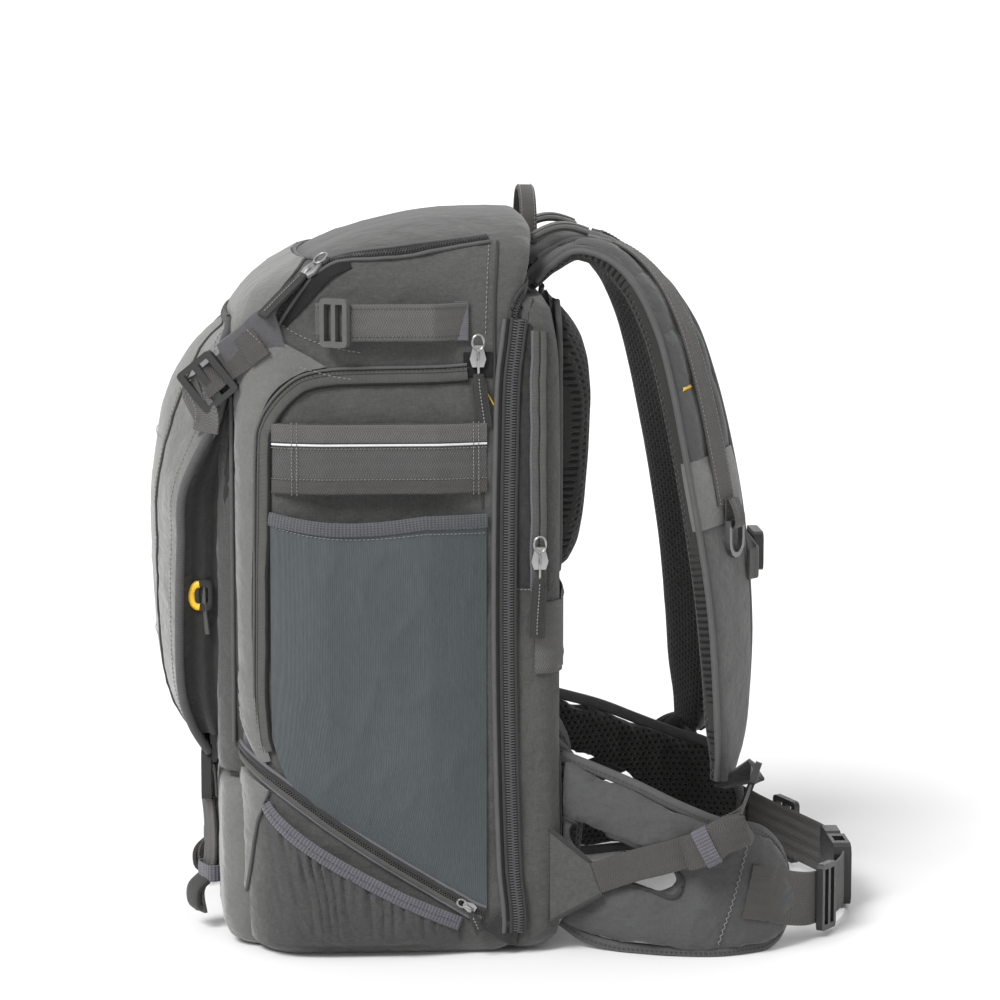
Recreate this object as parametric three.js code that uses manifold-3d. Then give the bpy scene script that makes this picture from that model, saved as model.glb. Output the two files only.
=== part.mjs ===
// Camera backpack: a hollow padded body with a rear door, lid, pockets, harness and hip belt.
// Millimetres, +Z up. The origin is the middle of the flat base, +X points to the wearer's back,
// and -Y is the wearer's right side.
import * as THREE from "three";
import { mergeVertices } from "three/addons/utils/BufferGeometryUtils.js";
import Module from "manifold-3d";

const wasm = await Module();
wasm.setup();

// Main body
const bagHeight = 511;
const bagWidth = 296;
const frontDepth = 105;
const seamDepth = 81;
const backDepth = 114;
const frontCorner = 36;
const rearCorner = 7;
const frontBow = 5;
const paddedWall = 8;
const clothWall = 3;
const stretchWall = 2;
const gap = 0.3;

// Lid, front pockets and flap
const lidTilt = 7;
const lidDepth = 27;
const lidEdgeHeight = bagHeight - lidDepth;
const doorSill = 14;
const doorHeadDepth = 71;
const doorHeadHeight = bagHeight - doorHeadDepth;
const rearPanelDrop = 57;
const rearPanelHeight = bagHeight - rearPanelDrop;
const rearPanelCorner = 18;
const laptopDepth = 20;
const pocketDepth = 18;
const frontPocketWidth = 236;
const basePocketFoot = 0.8;
const basePocketHeight = 118;
const basePocketWidth = 244;
const frontPocketFoot = 124;
const frontPocketTop = 394;
const flapStandOff = 66;
const flapWidth = 246;
const flapDrop = 73;
const flapTop = bagHeight - flapDrop;
const flapWall = 4;
const flapTabHeight = 352;
const flapTabWidth = 24;

// Side pockets, bands and straps
const sidePocketFront = 84;
const sidePocketRear = 63;
const sidePocketTop = 308;
const sidePocketBulge = 15;
const lowerPocketTop = 112;
const lowerPocketRear = 44;
const lowerPocketBulge = 11;
const bandFoot = 323;
const bandHeight = 48;
const bandBulge = 9;
const tripodStrapDrop = 72;
const tripodStrapHeight = bagHeight - tripodStrapDrop;
const tripodStrapWidth = 25;
const tripodStrapFront = 52;
const tripodStrapRear = 51;
const tripodLockPlace = 37;
const tripodStrapBulge = 17;
const webbing = 1.8;
const zipWidth = 8;
const zipThickness = 3;
const compressionWidth = 56;
const compressionLockWidth = 34;
const compressionLockLength = 30;
const compressionLockLift = 3;
const frontStrapSpread = 62;
const frontStrapWidth = 20;

// Back pads and handle
const backPadDepth = 23;
const backPadWidth = 226;
const backPadFoot = 258;
const backPadInset = 2;
const backPadTop = rearPanelHeight - backPadInset;
const backGroove = 10;
const lumbarDepth = 20;
const lumbarWidth = 222;
const lumbarFoot = 20;
const lumbarTop = 138;
const trolleyHeight = 222;
const trolleyWidth = 50;
const trolleyStrapLift = 6;
const handleSpan = 96;
const handleRise = 38;
const handleWidth = 12;
const handleThickness = 4;

// Shoulder harness
const strapReach = 122;
const strapWidth = 72;
const strapThickness = 17;
const strapTop = lidEdgeHeight;
const strapSpread = 105;
const lifterWidth = 25;
const sternumHeight = 262;
const sternumWebbing = 22;
const sternumClipLength = 44;
const sternumClipThickness = 7;
const ringWidth = 24;
const ringDrop = 25;
const ringWire = 3.6;
const ringHeight = 291;
const ringClearance = 0.5;

// Hip belt
const wingReach = 160;
const wingSpread = 158;
const wingHeight = 136;
const wingThickness = 13;
const beltWebbing = 38;
const beltReach = 214;
const beltHeight = 25;
const buckleLength = 74;
const buckleHeight = 46;
const buckleThickness = 13;
const lowerWebbing = 22;
const strapLockLength = 22;
const bundleStandOff = 9;
const beltLockPlace = 102;
const anchorTabRoot = 7;
const anchorTabHeight = 68;
const anchorTabThickness = 2.4;

const V = (x, y, z) => new THREE.Vector3(x, y, z);
const mix = (a, b, t) => a + (b - a) * t;

// Sheets and lofts

// Turns triangles into one closed indexed geometry whose faces point out.
function closedGeometry(points, faces) {
  const flat = new Float32Array(points.length * 3);
  points.forEach((p, i) => p.toArray(flat, i * 3));
  let volume = 0;
  for (const [a, b, c] of faces) {
    volume += points[a].dot(points[b].clone().cross(points[c]));
  }
  const index = faces.flatMap(([a, b, c]) => (volume < 0 ? [a, c, b] : [a, b, c]));
  const geometry = new THREE.BufferGeometry();
  geometry.setAttribute("position", new THREE.BufferAttribute(flat, 3));
  geometry.setIndex(index);
  return geometry;
}

// Joins rings of equal length into a tube with two fan caps.
function loft(rings) {
  const points = rings.flat();
  const n = rings[0].length;
  const faces = [];
  for (let r = 0; r + 1 < rings.length; r++) {
    for (let i = 0; i < n; i++) {
      const a = r * n + i;
      const b = r * n + ((i + 1) % n);
      faces.push([a, b, b + n], [a, b + n, a + n]);
    }
  }
  const last = (rings.length - 1) * n;
  for (const [start, flip] of [[0, true], [last, false]]) {
    const centre = new THREE.Vector3();
    for (let i = 0; i < n; i++) centre.addScaledVector(points[start + i], 1 / n);
    const hub = points.push(centre) - 1;
    for (let i = 0; i < n; i++) {
      const a = start + i;
      const b = start + ((i + 1) % n);
      faces.push(flip ? [hub, b, a] : [hub, a, b]);
    }
  }
  return closedGeometry(points, faces);
}

// A cloth sheet: at(u, v) gives a point and its outward normal, and the wall goes inward.
function sheet(columns, rows, at, wall) {
  const points = [];
  for (const depth of [0, wall]) {
    for (let v = 0; v <= rows; v++) {
      for (let u = 0; u <= columns; u++) {
        const [p, normal] = at(u / columns, v / rows);
        points.push(p.clone().addScaledVector(normal, -depth));
      }
    }
  }
  const n = columns + 1;
  const back = n * (rows + 1);
  const faces = [];
  for (let v = 0; v < rows; v++) {
    for (let u = 0; u < columns; u++) {
      const a = v * n + u;
      faces.push([a, a + 1, a + n + 1], [a, a + n + 1, a + n]);
      faces.push([back + a, back + a + n + 1, back + a + 1], [back + a, back + a + n, back + a + n + 1]);
    }
  }
  const rim = [];
  for (let u = 0; u < columns; u++) rim.push(u);
  for (let v = 0; v < rows; v++) rim.push(v * n + columns);
  for (let u = columns; u > 0; u--) rim.push(rows * n + u);
  for (let v = rows; v > 0; v--) rim.push(v * n);
  rim.forEach((a, i) => {
    const b = rim[(i + 1) % rim.length];
    faces.push([a, back + a, back + b], [a, back + b, b]);
  });
  return closedGeometry(points, faces);
}

// Catmull-Rom resampling of a table with named columns.
function smoothRows(table, count) {
  const keys = Object.keys(table[0]);
  const rows = [];
  for (let i = 0; i < count; i++) {
    const t = (i / (count - 1)) * (table.length - 1);
    const k = Math.min(Math.floor(t), table.length - 2);
    const f = t - k;
    const row = {};
    for (const key of keys) {
      const p1 = table[k][key];
      const p2 = table[k + 1][key];
      const p0 = k > 0 ? table[k - 1][key] : 2 * p1 - p2;
      const p3 = k + 2 < table.length ? table[k + 2][key] : 2 * p2 - p1;
      const bend = 2 * p0 - 5 * p1 + 4 * p2 - p3;
      const twist = 3 * p1 - p0 - 3 * p2 + p3;
      row[key] = p1 + 0.5 * f * (p2 - p0 + f * (bend + f * twist));
    }
    rows.push(row);
  }
  return rows;
}

// Frames along a centre line: tangent, the across direction nearest to the wanted one, and normal.
function framesAlong(centres, across) {
  return centres.map((centre, i) => {
    const before = centres[Math.max(i - 1, 0)];
    const after = centres[Math.min(i + 1, centres.length - 1)];
    const along = after.clone().sub(before).normalize();
    const side = across[i].clone().addScaledVector(along, -across[i].dot(along)).normalize();
    return { centre, along, side, normal: along.clone().cross(side).normalize() };
  });
}

// A flat band with softened edges, lofted along frames; widths are one value for each frame.
function band(frames, widths, thickness, edge = 0.35) {
  return loft(frames.map(({ centre, side, normal }, i) => {
    const w = widths[i] / 2;
    const t = thickness / 2;
    const e = thickness * edge;
    const section = [
      [-w, -t / 2], [-w, t / 2], [-w + e, t], [w - e, t],
      [w, t / 2], [w, -t / 2], [w - e, -t], [-w + e, -t],
    ];
    return section.map(([s, n]) => centre.clone().addScaledVector(side, s).addScaledVector(normal, n));
  }));
}

// Webbing is a band with a plain rectangular section.
function webbingBand(frames, width, thickness = webbing) {
  const section = [[-0.5, -0.5], [-0.5, 0.5], [0.5, 0.5], [0.5, -0.5]];
  return loft(frames.map(({ centre, side, normal }) => section.map(([s, n]) => (
    centre.clone().addScaledVector(side, s * width).addScaledVector(normal, n * thickness)
  ))));
}

// Booleans

function toSolid(geometry) {
  const merged = mergeVertices(bareCopy(geometry), 1e-4);
  return new wasm.Manifold(new wasm.Mesh({
    numProp: 3,
    vertProperties: new Float32Array(merged.attributes.position.array),
    triVerts: new Uint32Array(merged.index.array),
  }));
}

function toGeometry(solid) {
  const mesh = solid.getMesh();
  const geometry = new THREE.BufferGeometry();
  geometry.setAttribute("position", new THREE.BufferAttribute(new Float32Array(mesh.vertProperties), 3));
  geometry.setIndex(Array.from(mesh.triVerts));
  return geometry;
}

function boxBetween(low, high) {
  const size = high.clone().sub(low);
  const middle = low.clone().add(high).multiplyScalar(0.5);
  return new THREE.BoxGeometry(size.x, size.y, size.z).translate(middle.x, middle.y, middle.z);
}

// A flat plate cut from an outline with holes, centred on its own middle plane.
function plate(outline, holes, thickness) {
  const shape = new THREE.Shape(outline);
  for (const hole of holes) shape.holes.push(new THREE.Path(hole));
  const geometry = new THREE.ExtrudeGeometry(shape, { depth: thickness, bevelEnabled: false });
  return geometry.translate(0, 0, -thickness / 2);
}

function rectangle(width, height, x = 0, y = 0) {
  return [[-1, -1], [1, -1], [1, 1], [-1, 1]].map(([sx, sy]) => (
    new THREE.Vector2(x + (sx * width) / 2, y + (sy * height) / 2)
  ));
}

function roundedRectangle(width, height, radius) {
  const steps = 2;
  const points = [];
  for (const [sx, sy, start] of [[1, -1, -90], [1, 1, 0], [-1, 1, 90], [-1, -1, 180]]) {
    for (let k = 0; k <= steps; k++) {
      const angle = THREE.MathUtils.degToRad(start + (90 * k) / steps);
      points.push(new THREE.Vector2(
        sx * (width / 2 - radius) + radius * Math.cos(angle),
        sy * (height / 2 - radius) + radius * Math.sin(angle),
      ));
    }
  }
  return points;
}

// Places a geometry so that its x, y and z axes lie along a frame's side, along and normal.
function onFrame(geometry, { centre, side, along }) {
  const matrix = new THREE.Matrix4().makeBasis(side, along, side.clone().cross(along));
  return geometry.applyMatrix4(matrix.setPosition(centre));
}

// Body surface

// Shares: up of bagHeight, front of frontDepth, rear of seamDepth, half of half bagWidth,
// corner of frontCorner.
const bodyRows = [
  { up: 0.0, front: 0.867, rear: 0.9, half: 0.932, corner: 0.8 },
  { up: 0.01, front: 0.933, rear: 1.0, half: 0.973, corner: 0.9 },
  { up: 0.03, front: 0.967, rear: 1.035, half: 0.997, corner: 1.0 },
  { up: 0.12, front: 0.975, rear: 1.0, half: 1.0, corner: 1.0 },
  { up: 0.36, front: 0.99, rear: 0.958, half: 1.0, corner: 1.0 },
  { up: 0.6, front: 1.0, rear: 0.957, half: 1.0, corner: 1.0 },
  { up: 0.69, front: 1.0, rear: 0.968, half: 0.993, corner: 1.0 },
  { up: 0.785, front: 1.02, rear: 0.988, half: 0.973, corner: 1.05 },
  { up: 0.83, front: 1.045, rear: 1.025, half: 0.95, corner: 1.1 },
  { up: 0.869, front: 1.01, rear: 1.06, half: 0.925, corner: 1.15 },
  { up: 0.904, front: 0.86, rear: 1.117, half: 0.9, corner: 1.2 },
  { up: 0.928, front: 0.67, rear: 1.148, half: 0.875, corner: 1.25 },
  { up: 0.948, front: 0.49, rear: 1.167, half: 0.84, corner: 1.25 },
  { up: 0.968, front: 0.27, rear: 1.18, half: 0.75, corner: 1.3 },
  { up: 0.986, front: -0.05, rear: 1.155, half: 0.57, corner: 1.2 },
  { up: 0.997, front: -0.35, rear: 1.07, half: 0.34, corner: 0.8 },
  { up: 1.0, front: -0.5, rear: 0.957, half: 0.14, corner: 0.35 },
];

// The body's section at a height: front and rear places, half width and corner radius.
function bodyAt(z) {
  const up = THREE.MathUtils.clamp(z / bagHeight, 0, 1);
  let k = 0;
  while (k < bodyRows.length - 2 && bodyRows[k + 1].up < up) k++;
  const [a, b] = [bodyRows[k], bodyRows[k + 1]];
  const t = (up - a.up) / (b.up - a.up);
  const half = (mix(a.half, b.half, t) * bagWidth) / 2;
  const front = -mix(a.front, b.front, t) * frontDepth;
  const rear = mix(a.rear, b.rear, t) * seamDepth;
  const corner = Math.min(mix(a.corner, b.corner, t) * frontCorner, half * 0.9, (rear - front) * 0.45);
  return { front, rear, half, corner };
}

// A rounded rectangular ring, bowed on its front, seen from above.
function bodyRing({ front, rear, half, corner }, backCorner, bow, z) {
  const steps = 3;
  const points = [];
  const back = Math.min(backCorner, half * 0.9);
  const corners = [
    [rear - back, -half + back, back, -90, 0],
    [rear - back, half - back, back, 0, 90],
    [front + corner, half - corner, corner, 90, 180],
    [front + corner, -half + corner, corner, 180, 270],
  ];
  corners.forEach(([cx, cy, r, from, to], index) => {
    for (let k = 0; k <= steps; k++) {
      const angle = THREE.MathUtils.degToRad(mix(from, to, k / steps));
      points.push(V(cx + r * Math.cos(angle), cy + r * Math.sin(angle), z));
    }
    if (index === 2) {
      const edge = half - corner;
      for (const share of [0.5, 0, -0.5]) {
        points.push(V(front - bow * (1 - share * share), edge * share, z));
      }
    }
  });
  return points;
}

// The whole outer form of the body, grown or shrunk by an offset.
function bodyForm(offset) {
  const rings = bodyRows.map(({ up }) => {
    const section = bodyAt(up * bagHeight);
    const z = -offset + (up * (bagHeight + 2 * offset));
    const corner = Math.max(section.corner + offset * 0.5, 1);
    return bodyRing({
      front: section.front - offset,
      rear: section.rear + offset,
      half: Math.max(section.half + offset, 2),
      corner: Math.min(corner, Math.max(section.half + offset, 2) * 0.9),
    }, Math.max(rearCorner + offset * 0.5, 2), frontBow, z);
  });
  return loft(rings);
}

// Half width of the body's side at a place, with the front corner's rounding.
function sideAt(x, z) {
  const { front, half, corner } = bodyAt(z);
  const inset = Math.max(front + corner - x, 0);
  const drop = corner - Math.sqrt(Math.max(corner * corner - Math.min(inset, corner * 0.98) ** 2, 0));
  return half - drop;
}

// Place of a section's front face at a distance from the middle.
function frontOf({ front, half, corner }, y) {
  const edge = half - corner;
  const across = Math.abs(y);
  if (across <= edge) return front - frontBow * (1 - (across / edge) ** 2);
  const inset = Math.min(across - edge, corner * 0.98);
  return front + corner - Math.sqrt(corner * corner - inset * inset);
}

// The space above the lid's seam, which slopes up to the rear.
function aboveSeam(shift) {
  const space = new THREE.BoxGeometry(4 * bagWidth, 4 * bagWidth, bagHeight);
  space.translate(0, 0, bagHeight / 2 + shift);
  space.rotateY(-THREE.MathUtils.degToRad(lidTilt));
  return toSolid(space.translate(0, 0, lidEdgeHeight));
}

const rearmost = seamDepth * Math.max(...bodyRows.map(({ rear }) => rear));
const bodyOuter = toSolid(bodyForm(0));
const bodyCavity = toSolid(bodyForm(-paddedWall));
const bodyClear = toSolid(bodyForm(gap));

const parts = [];

function addPart(name, geometry, look) {
  const mesh = new THREE.Mesh(geometry, look);
  mesh.name = name;
  parts.push(mesh);
}

// Makes a piece for the wearer's right side and its mirror image for the left.
function addPair(name, geometry, look) {
  addPart(`${name}_right`, geometry, look);
  const mirrored = geometry.index ? geometry.clone() : mergeVertices(bareCopy(geometry), 1e-4);
  mirrored.scale(1, -1, 1);
  const index = mirrored.index.array;
  for (let i = 0; i < index.length; i += 3) {
    [index[i], index[i + 1]] = [index[i + 1], index[i]];
  }
  addPart(`${name}_left`, mirrored, look);
}

function bareCopy(geometry) {
  const copy = geometry.clone();
  for (const name of ["normal", "uv"]) copy.deleteAttribute(name);
  return copy;
}

function look(color, roughness, metalness = 0) {
  return new THREE.MeshStandardMaterial({ color, roughness, metalness });
}

const looks = {
  charcoal: look(0x5c5c5a, 0.9),
  paleGrey: look(0x82827f, 0.85),
  stretch: look(0x565d60, 0.9),
  lilac: look(0x77757c, 0.85),
  mesh: look(0x232321, 0.95),
  webbing: look(0x4c4b48, 0.8),
  zip: look(0x3c3b39, 0.6),
  plastic: look(0x2c2c2b, 0.45),
  metal: look(0xa8a9a8, 0.35, 1),
};

// Shell, lid and rear panel

function shellGeometry() {
  const doorHalf = bagWidth / 2 - paddedWall - 1;
  const door = toSolid(boxBetween(
    V(0, -doorHalf, doorSill),
    V(2 * backDepth, doorHalf, doorHeadHeight),
  ));
  return toGeometry(bodyOuter.subtract(bodyCavity).subtract(aboveSeam(-gap / 2)).subtract(door));
}

function lidGeometry() {
  return toGeometry(bodyOuter.subtract(bodyCavity).intersect(aboveSeam(gap / 2)));
}

// Shares: up of rearPanelHeight, rear of backDepth, half of half bagWidth.
const rearPanelRows = [
  { up: 0.008, rear: 0.93, half: 0.94 },
  { up: 0.022, rear: 0.985, half: 0.975 },
  { up: 0.06, rear: 1.0, half: 0.985 },
  { up: 0.3, rear: 1.0, half: 0.99 },
  { up: 0.6, rear: 1.0, half: 0.99 },
  { up: 0.8, rear: 1.0, half: 0.98 },
  { up: 0.93, rear: 0.985, half: 0.945 },
  { up: 0.98, rear: 0.95, half: 0.91 },
  { up: 1.0, rear: 0.9, half: 0.87 },
];

function rearPanelRowAt(z) {
  const above = Math.max(rearPanelRows.findIndex(({ up }) => up * rearPanelHeight >= z - gap / 100), 1);
  const [a, b] = [rearPanelRows[above - 1], rearPanelRows[above]];
  const t = THREE.MathUtils.clamp((z / rearPanelHeight - a.up) / (b.up - a.up), 0, 1);
  return { rear: mix(a.rear, b.rear, t) * backDepth, half: (mix(a.half, b.half, t) * bagWidth) / 2 };
}

// The panel's widest half width within a zip's width of a height.
function rearPanelHalfAt(z) {
  return Math.max(rearPanelRowAt(z - zipWidth).half, rearPanelRowAt(z).half);
}

// The panel has a ring at each of its own rows and wherever the body's rear face changes slope.
function rearPanelForm() {
  const own = rearPanelRows.map(({ up }) => up * rearPanelHeight);
  const inside = (z) => z > own[0] && z < rearPanelHeight && own.every((one) => Math.abs(one - z) > 1);
  const shared = bodyRows.map(({ up }) => up * bagHeight).filter(inside);
  return loft([...own, ...shared].sort((a, b) => a - b).map((z) => bodyRing({
    ...rearPanelRowAt(z),
    front: bodyAt(z).rear + gap,
    corner: rearCorner,
  }, rearPanelCorner, 0, z)));
}

function rearPanelGeometry() {
  const wall = (backDepth - seamDepth - laptopDepth) / 2;
  const pocket = toSolid(boxBetween(
    V(backDepth - wall - laptopDepth, -bagWidth / 2 + 2 * wall, 2 * wall),
    V(backDepth - wall, bagWidth / 2 - 2 * wall, rearPanelHeight - 3 * wall),
  ));
  const { low, high, x } = laptopMouth();
  const mouth = toSolid(boxBetween(
    V(x - zipWidth / 3, -bagWidth, low),
    V(x + zipWidth / 3, 0, high),
  ));
  return toGeometry(toSolid(rearPanelForm()).subtract(pocket).subtract(mouth));
}

// The laptop pocket's mouth is a slot in the panel's right side, under its zip.
function laptopMouth() {
  return {
    x: backDepth - (backDepth - seamDepth) * 0.42,
    low: rearPanelHeight * 0.57,
    high: rearPanelHeight * 0.94,
  };
}

// A front pocket's section at a row of its table, drawn in by an offset.
function cupSection({ depth, half }, width, offset = 0) {
  return {
    front: -frontDepth - pocketDepth * depth + offset,
    rear: -frontDepth + frontCorner,
    half: (half * width) / 2 - offset,
    corner: pocketDepth * 1.1,
  };
}

// Front pockets: cups of cloth that open on the body's front wall.
function cupGeometry(rows, foot, top, width) {
  const form = (offset) => loft(rows.map((row) => (
    bodyRing(cupSection(row, width, offset), rearCorner, frontBow, mix(foot + offset, top - offset, row.up))
  )));
  return toGeometry(toSolid(form(0)).subtract(toSolid(form(clothWall))).subtract(bodyClear));
}

const frontPocketRows = [
  { up: 0.0, depth: 0.75, half: 0.95 },
  { up: 0.03, depth: 0.95, half: 0.99 },
  { up: 0.3, depth: 1.0, half: 1.0 },
  { up: 0.7, depth: 1.0, half: 1.0 },
  { up: 0.93, depth: 0.95, half: 0.97 },
  { up: 1.0, depth: 0.6, half: 0.9 },
];

const basePocketRows = [
  { up: 0.0, depth: 0.2, half: 0.93 },
  { up: 0.06, depth: 0.62, half: 0.98 },
  { up: 0.2, depth: 0.85, half: 1.0 },
  { up: 0.6, depth: 0.88, half: 1.0 },
  { up: 0.93, depth: 0.85, half: 0.99 },
  { up: 1.0, depth: 0.5, half: 0.95 },
];

function frontPocketGeometry() {
  return cupGeometry(frontPocketRows, frontPocketFoot, frontPocketTop, frontPocketWidth);
}

function basePocketGeometry() {
  return cupGeometry(basePocketRows, basePocketFoot, basePocketHeight, basePocketWidth);
}

// Front flap

// Shares: up of flapTop, out of flapStandOff past frontDepth, half of half flapWidth, back of flapStandOff.
const flapRows = [
  { up: 0.3, out: 0.46, half: 0.64, back: 0.06 },
  { up: 0.35, out: 0.68, half: 0.77, back: 0.12 },
  { up: 0.415, out: 0.88, half: 0.88, back: 0.22 },
  { up: 0.52, out: 0.97, half: 0.95, back: 0.3 },
  { up: 0.65, out: 1.0, half: 0.98, back: 0.36 },
  { up: 0.74, out: 0.98, half: 1.0, back: 0.38 },
  { up: 0.85, out: 0.86, half: 1.0, back: 0.6 },
  { up: 0.92, out: 0.65, half: 0.96, back: 0.5 },
  { up: 0.965, out: 0.4, half: 0.9, back: 0.22 },
  { up: 1.0, out: 0.04, half: 0.82, back: 0.0 },
];

// The flap's outer face keeps clear of the body and of the front pocket behind it.
function flapPoint(row, across) {
  const y = (across * row.half * flapWidth) / 2;
  const z = row.up * flapTop;
  const stand = (row.out - row.back * Math.abs(across) ** 2.6) * flapStandOff;
  const behind = [frontOf(bodyAt(z), y)];
  const widest = frontPocketRows.reduce((best, one) => (one.half > best.half ? one : best));
  if (z > frontPocketFoot - flapWall && z < frontPocketTop + flapWall && Math.abs(y) < frontPocketWidth / 2) {
    behind.push(frontOf(cupSection(widest, frontPocketWidth), y));
  }
  return V(Math.min(-frontDepth - stand, Math.min(...behind) - flapWall - 2 * gap), y, z);
}

function flapGeometry() {
  const rows = smoothRows(flapRows, 13);
  const place = (u, v) => flapPoint(rows[Math.round(v * (rows.length - 1))], 2 * u - 1);
  const at = (u, v) => {
    const e = 1 / (rows.length - 1);
    const du = place(Math.min(u + 0.06, 1), v).sub(place(Math.max(u - 0.06, 0), v));
    const dv = place(u, Math.min(v + e, 1)).sub(place(u, Math.max(v - e, 0)));
    const normal = du.cross(dv).normalize();
    if (normal.x > 0) normal.negate();
    return [place(u, v), normal];
  };
  const tab = toSolid(flapTabGeometry());
  const cloth = toSolid(sheet(10, rows.length - 1, at, flapWall)).subtract(bodyClear);
  return toGeometry(cloth.add(tab).add(tab.mirror([0, 1, 0])));
}

// The tab on the flap's edge that takes the end of the compression strap.
function flapTabGeometry() {
  const { centre, along, side } = compressionLockFrame();
  const offBy = (row) => Math.abs(row.up * flapTop - flapTabHeight);
  const row = smoothRows(flapRows, 25).reduce((best, one) => (offBy(one) < offBy(best) ? one : best));
  const seat = flapPoint(row, -0.9);
  const head = centre.clone().addScaledVector(along, compressionLockLength / 2 + 2 * gap);
  const neck = head.clone().addScaledVector(along, 4 * flapWall);
  const points = [head, head.clone().lerp(neck, 0.5), neck, neck.clone().lerp(seat, 0.5), seat];
  return band(framesAlong(points, points.map(() => side)), points.map(() => flapTabWidth), flapWall * 0.75);
}

// Sheets that lie on the body's right side: x and z from shares, y from the side and a bulge.
function sideSheet(columns, rows, place, wall) {
  const at = (u, v) => {
    const { x, z, bulge } = place(u, v);
    return [V(x, -(sideAt(x, z) + gap + wall + bulge), z), V(0, -1, 0)];
  };
  return toGeometry(toSolid(sheet(columns, rows, at, wall)).subtract(bodyClear));
}

// The lower seam of the side pocket, along the slanted zip.
function slantAt(x) {
  const share = (x + sidePocketFront) / (sidePocketFront + sidePocketRear);
  return mix(lowerPocketTop + 8, lowerPocketTop * 0.28, THREE.MathUtils.clamp(share, 0, 1));
}

function sidePocketGeometry() {
  return sideSheet(9, 6, (u, v) => {
    const x = mix(-sidePocketFront, sidePocketRear, u);
    const corner = 34 * Math.max(0, 1 - u / 0.16) ** 2;
    const foot = slantAt(x) + corner;
    const hemDip = sidePocketTop - 5 * Math.sin(Math.PI * Math.min(u * 1.4, 1));
    const fullness = Math.min(1, Math.sin(Math.PI * u) * 1.35) * Math.min(1, v * 2.6) ** 0.6;
    return { x, z: mix(foot, hemDip, v), bulge: sidePocketBulge * fullness };
  }, stretchWall);
}

function lowerPocketGeometry() {
  return sideSheet(9, 5, (u, v) => {
    const x = mix(-sidePocketFront - 4, lowerPocketRear, u);
    const top = mix(lowerPocketTop, 24, u ** 0.72);
    const foot = 9;
    const lengthwise = Math.min(1, Math.sin(Math.PI * u) * 1.3);
    const fullness = lengthwise * Math.sin(Math.PI * Math.min(0.15 + v * 0.6, 1));
    return { x, z: mix(foot, top, v), bulge: lowerPocketBulge * fullness };
  }, stretchWall);
}

function labelBandGeometry() {
  return sideSheet(12, 2, (u, v) => ({
    x: mix(-sidePocketFront + 2, sidePocketRear, u),
    z: bandFoot + bandHeight * v,
    bulge: bandBulge * Math.min(1, Math.sin(Math.PI * u) * 1.5),
  }), webbing);
}

function tripodBulge(x) {
  const share = (x + tripodStrapFront) / (tripodStrapFront + tripodStrapRear);
  return tripodStrapBulge * Math.min(1, Math.sin(Math.PI * THREE.MathUtils.clamp(share, 0, 1)) * 1.5);
}

function tripodStrapGeometry() {
  return sideSheet(12, 1, (u, v) => {
    const x = mix(-tripodStrapFront, tripodStrapRear, u);
    return { x, z: tripodStrapHeight + tripodStrapWidth * (v - 0.5), bulge: tripodBulge(x) };
  }, webbing);
}

// A three-bar strap adjuster as a plate with two windows.
function ladderLock(width, length, thickness) {
  const bar = length * 0.16;
  const rail = 4;
  const window = (length - 3 * bar) / 2;
  const opening = width - 2 * rail;
  const holes = [-1, 1].map((s) => rectangle(opening, window, 0, (s * (bar + window)) / 2));
  return plate(roundedRectangle(width, length, 3), holes, thickness);
}

function tripodLockGeometry() {
  const thickness = 4;
  const reach = (x) => V(x, -(sideAt(x, tripodStrapHeight) + gap + webbing + tripodBulge(x)), 0);
  const slope = reach(-tripodLockPlace + 8).sub(reach(-tripodLockPlace - 8)).normalize();
  const out = V(slope.y, -slope.x, 0);
  return onFrame(ladderLock(tripodStrapWidth + 8, 22, thickness), {
    centre: reach(-tripodLockPlace).setZ(tripodStrapHeight).addScaledVector(out, thickness / 2 + 7 * gap),
    side: V(0, 0, 1),
    along: slope,
  });
}

// Zips

function zipStrip(points, width, thickness) {
  const frames = framesAlong(points, points.map(() => V(1, 0, 0)));
  return webbingBand(frames, width, thickness);
}

function mainZipGeometry() {
  const points = [];
  const steps = 10;
  for (let k = 0; k <= steps; k++) {
    const z = mix(doorSill + 2, doorHeadHeight, k / steps);
    const { rear, half } = bodyAt(z);
    points.push(V(rear, -(half + gap * 2 + zipThickness / 2), z));
  }
  return zipStrip(points, zipWidth, zipThickness);
}

function laptopZipGeometry() {
  const { x, low, high } = laptopMouth();
  const points = [];
  const steps = 6;
  for (let k = 0; k <= steps; k++) {
    const z = mix(low - zipWidth / 2, high + zipWidth / 2, k / steps);
    points.push(V(x, -(rearPanelHalfAt(z) + gap * 2 + zipThickness / 2), z));
  }
  return zipStrip(points, zipWidth + 4, zipThickness);
}

// Back pads

// Shares: up between the pad's foot and top, depth of the pad's depth, half of half its width.
const backPadRows = [
  { up: 0.0, depth: 0.25, half: 0.82 },
  { up: 0.05, depth: 0.55, half: 0.92 },
  { up: 0.25, depth: 0.8, half: 0.98 },
  { up: 0.6, depth: 1.0, half: 1.0 },
  { up: 0.8, depth: 0.9, half: 0.97 },
  { up: 0.92, depth: 0.55, half: 0.88 },
  { up: 0.98, depth: 0.2, half: 0.72 },
  { up: 1.0, depth: 0.08, half: 0.62 },
];

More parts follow.
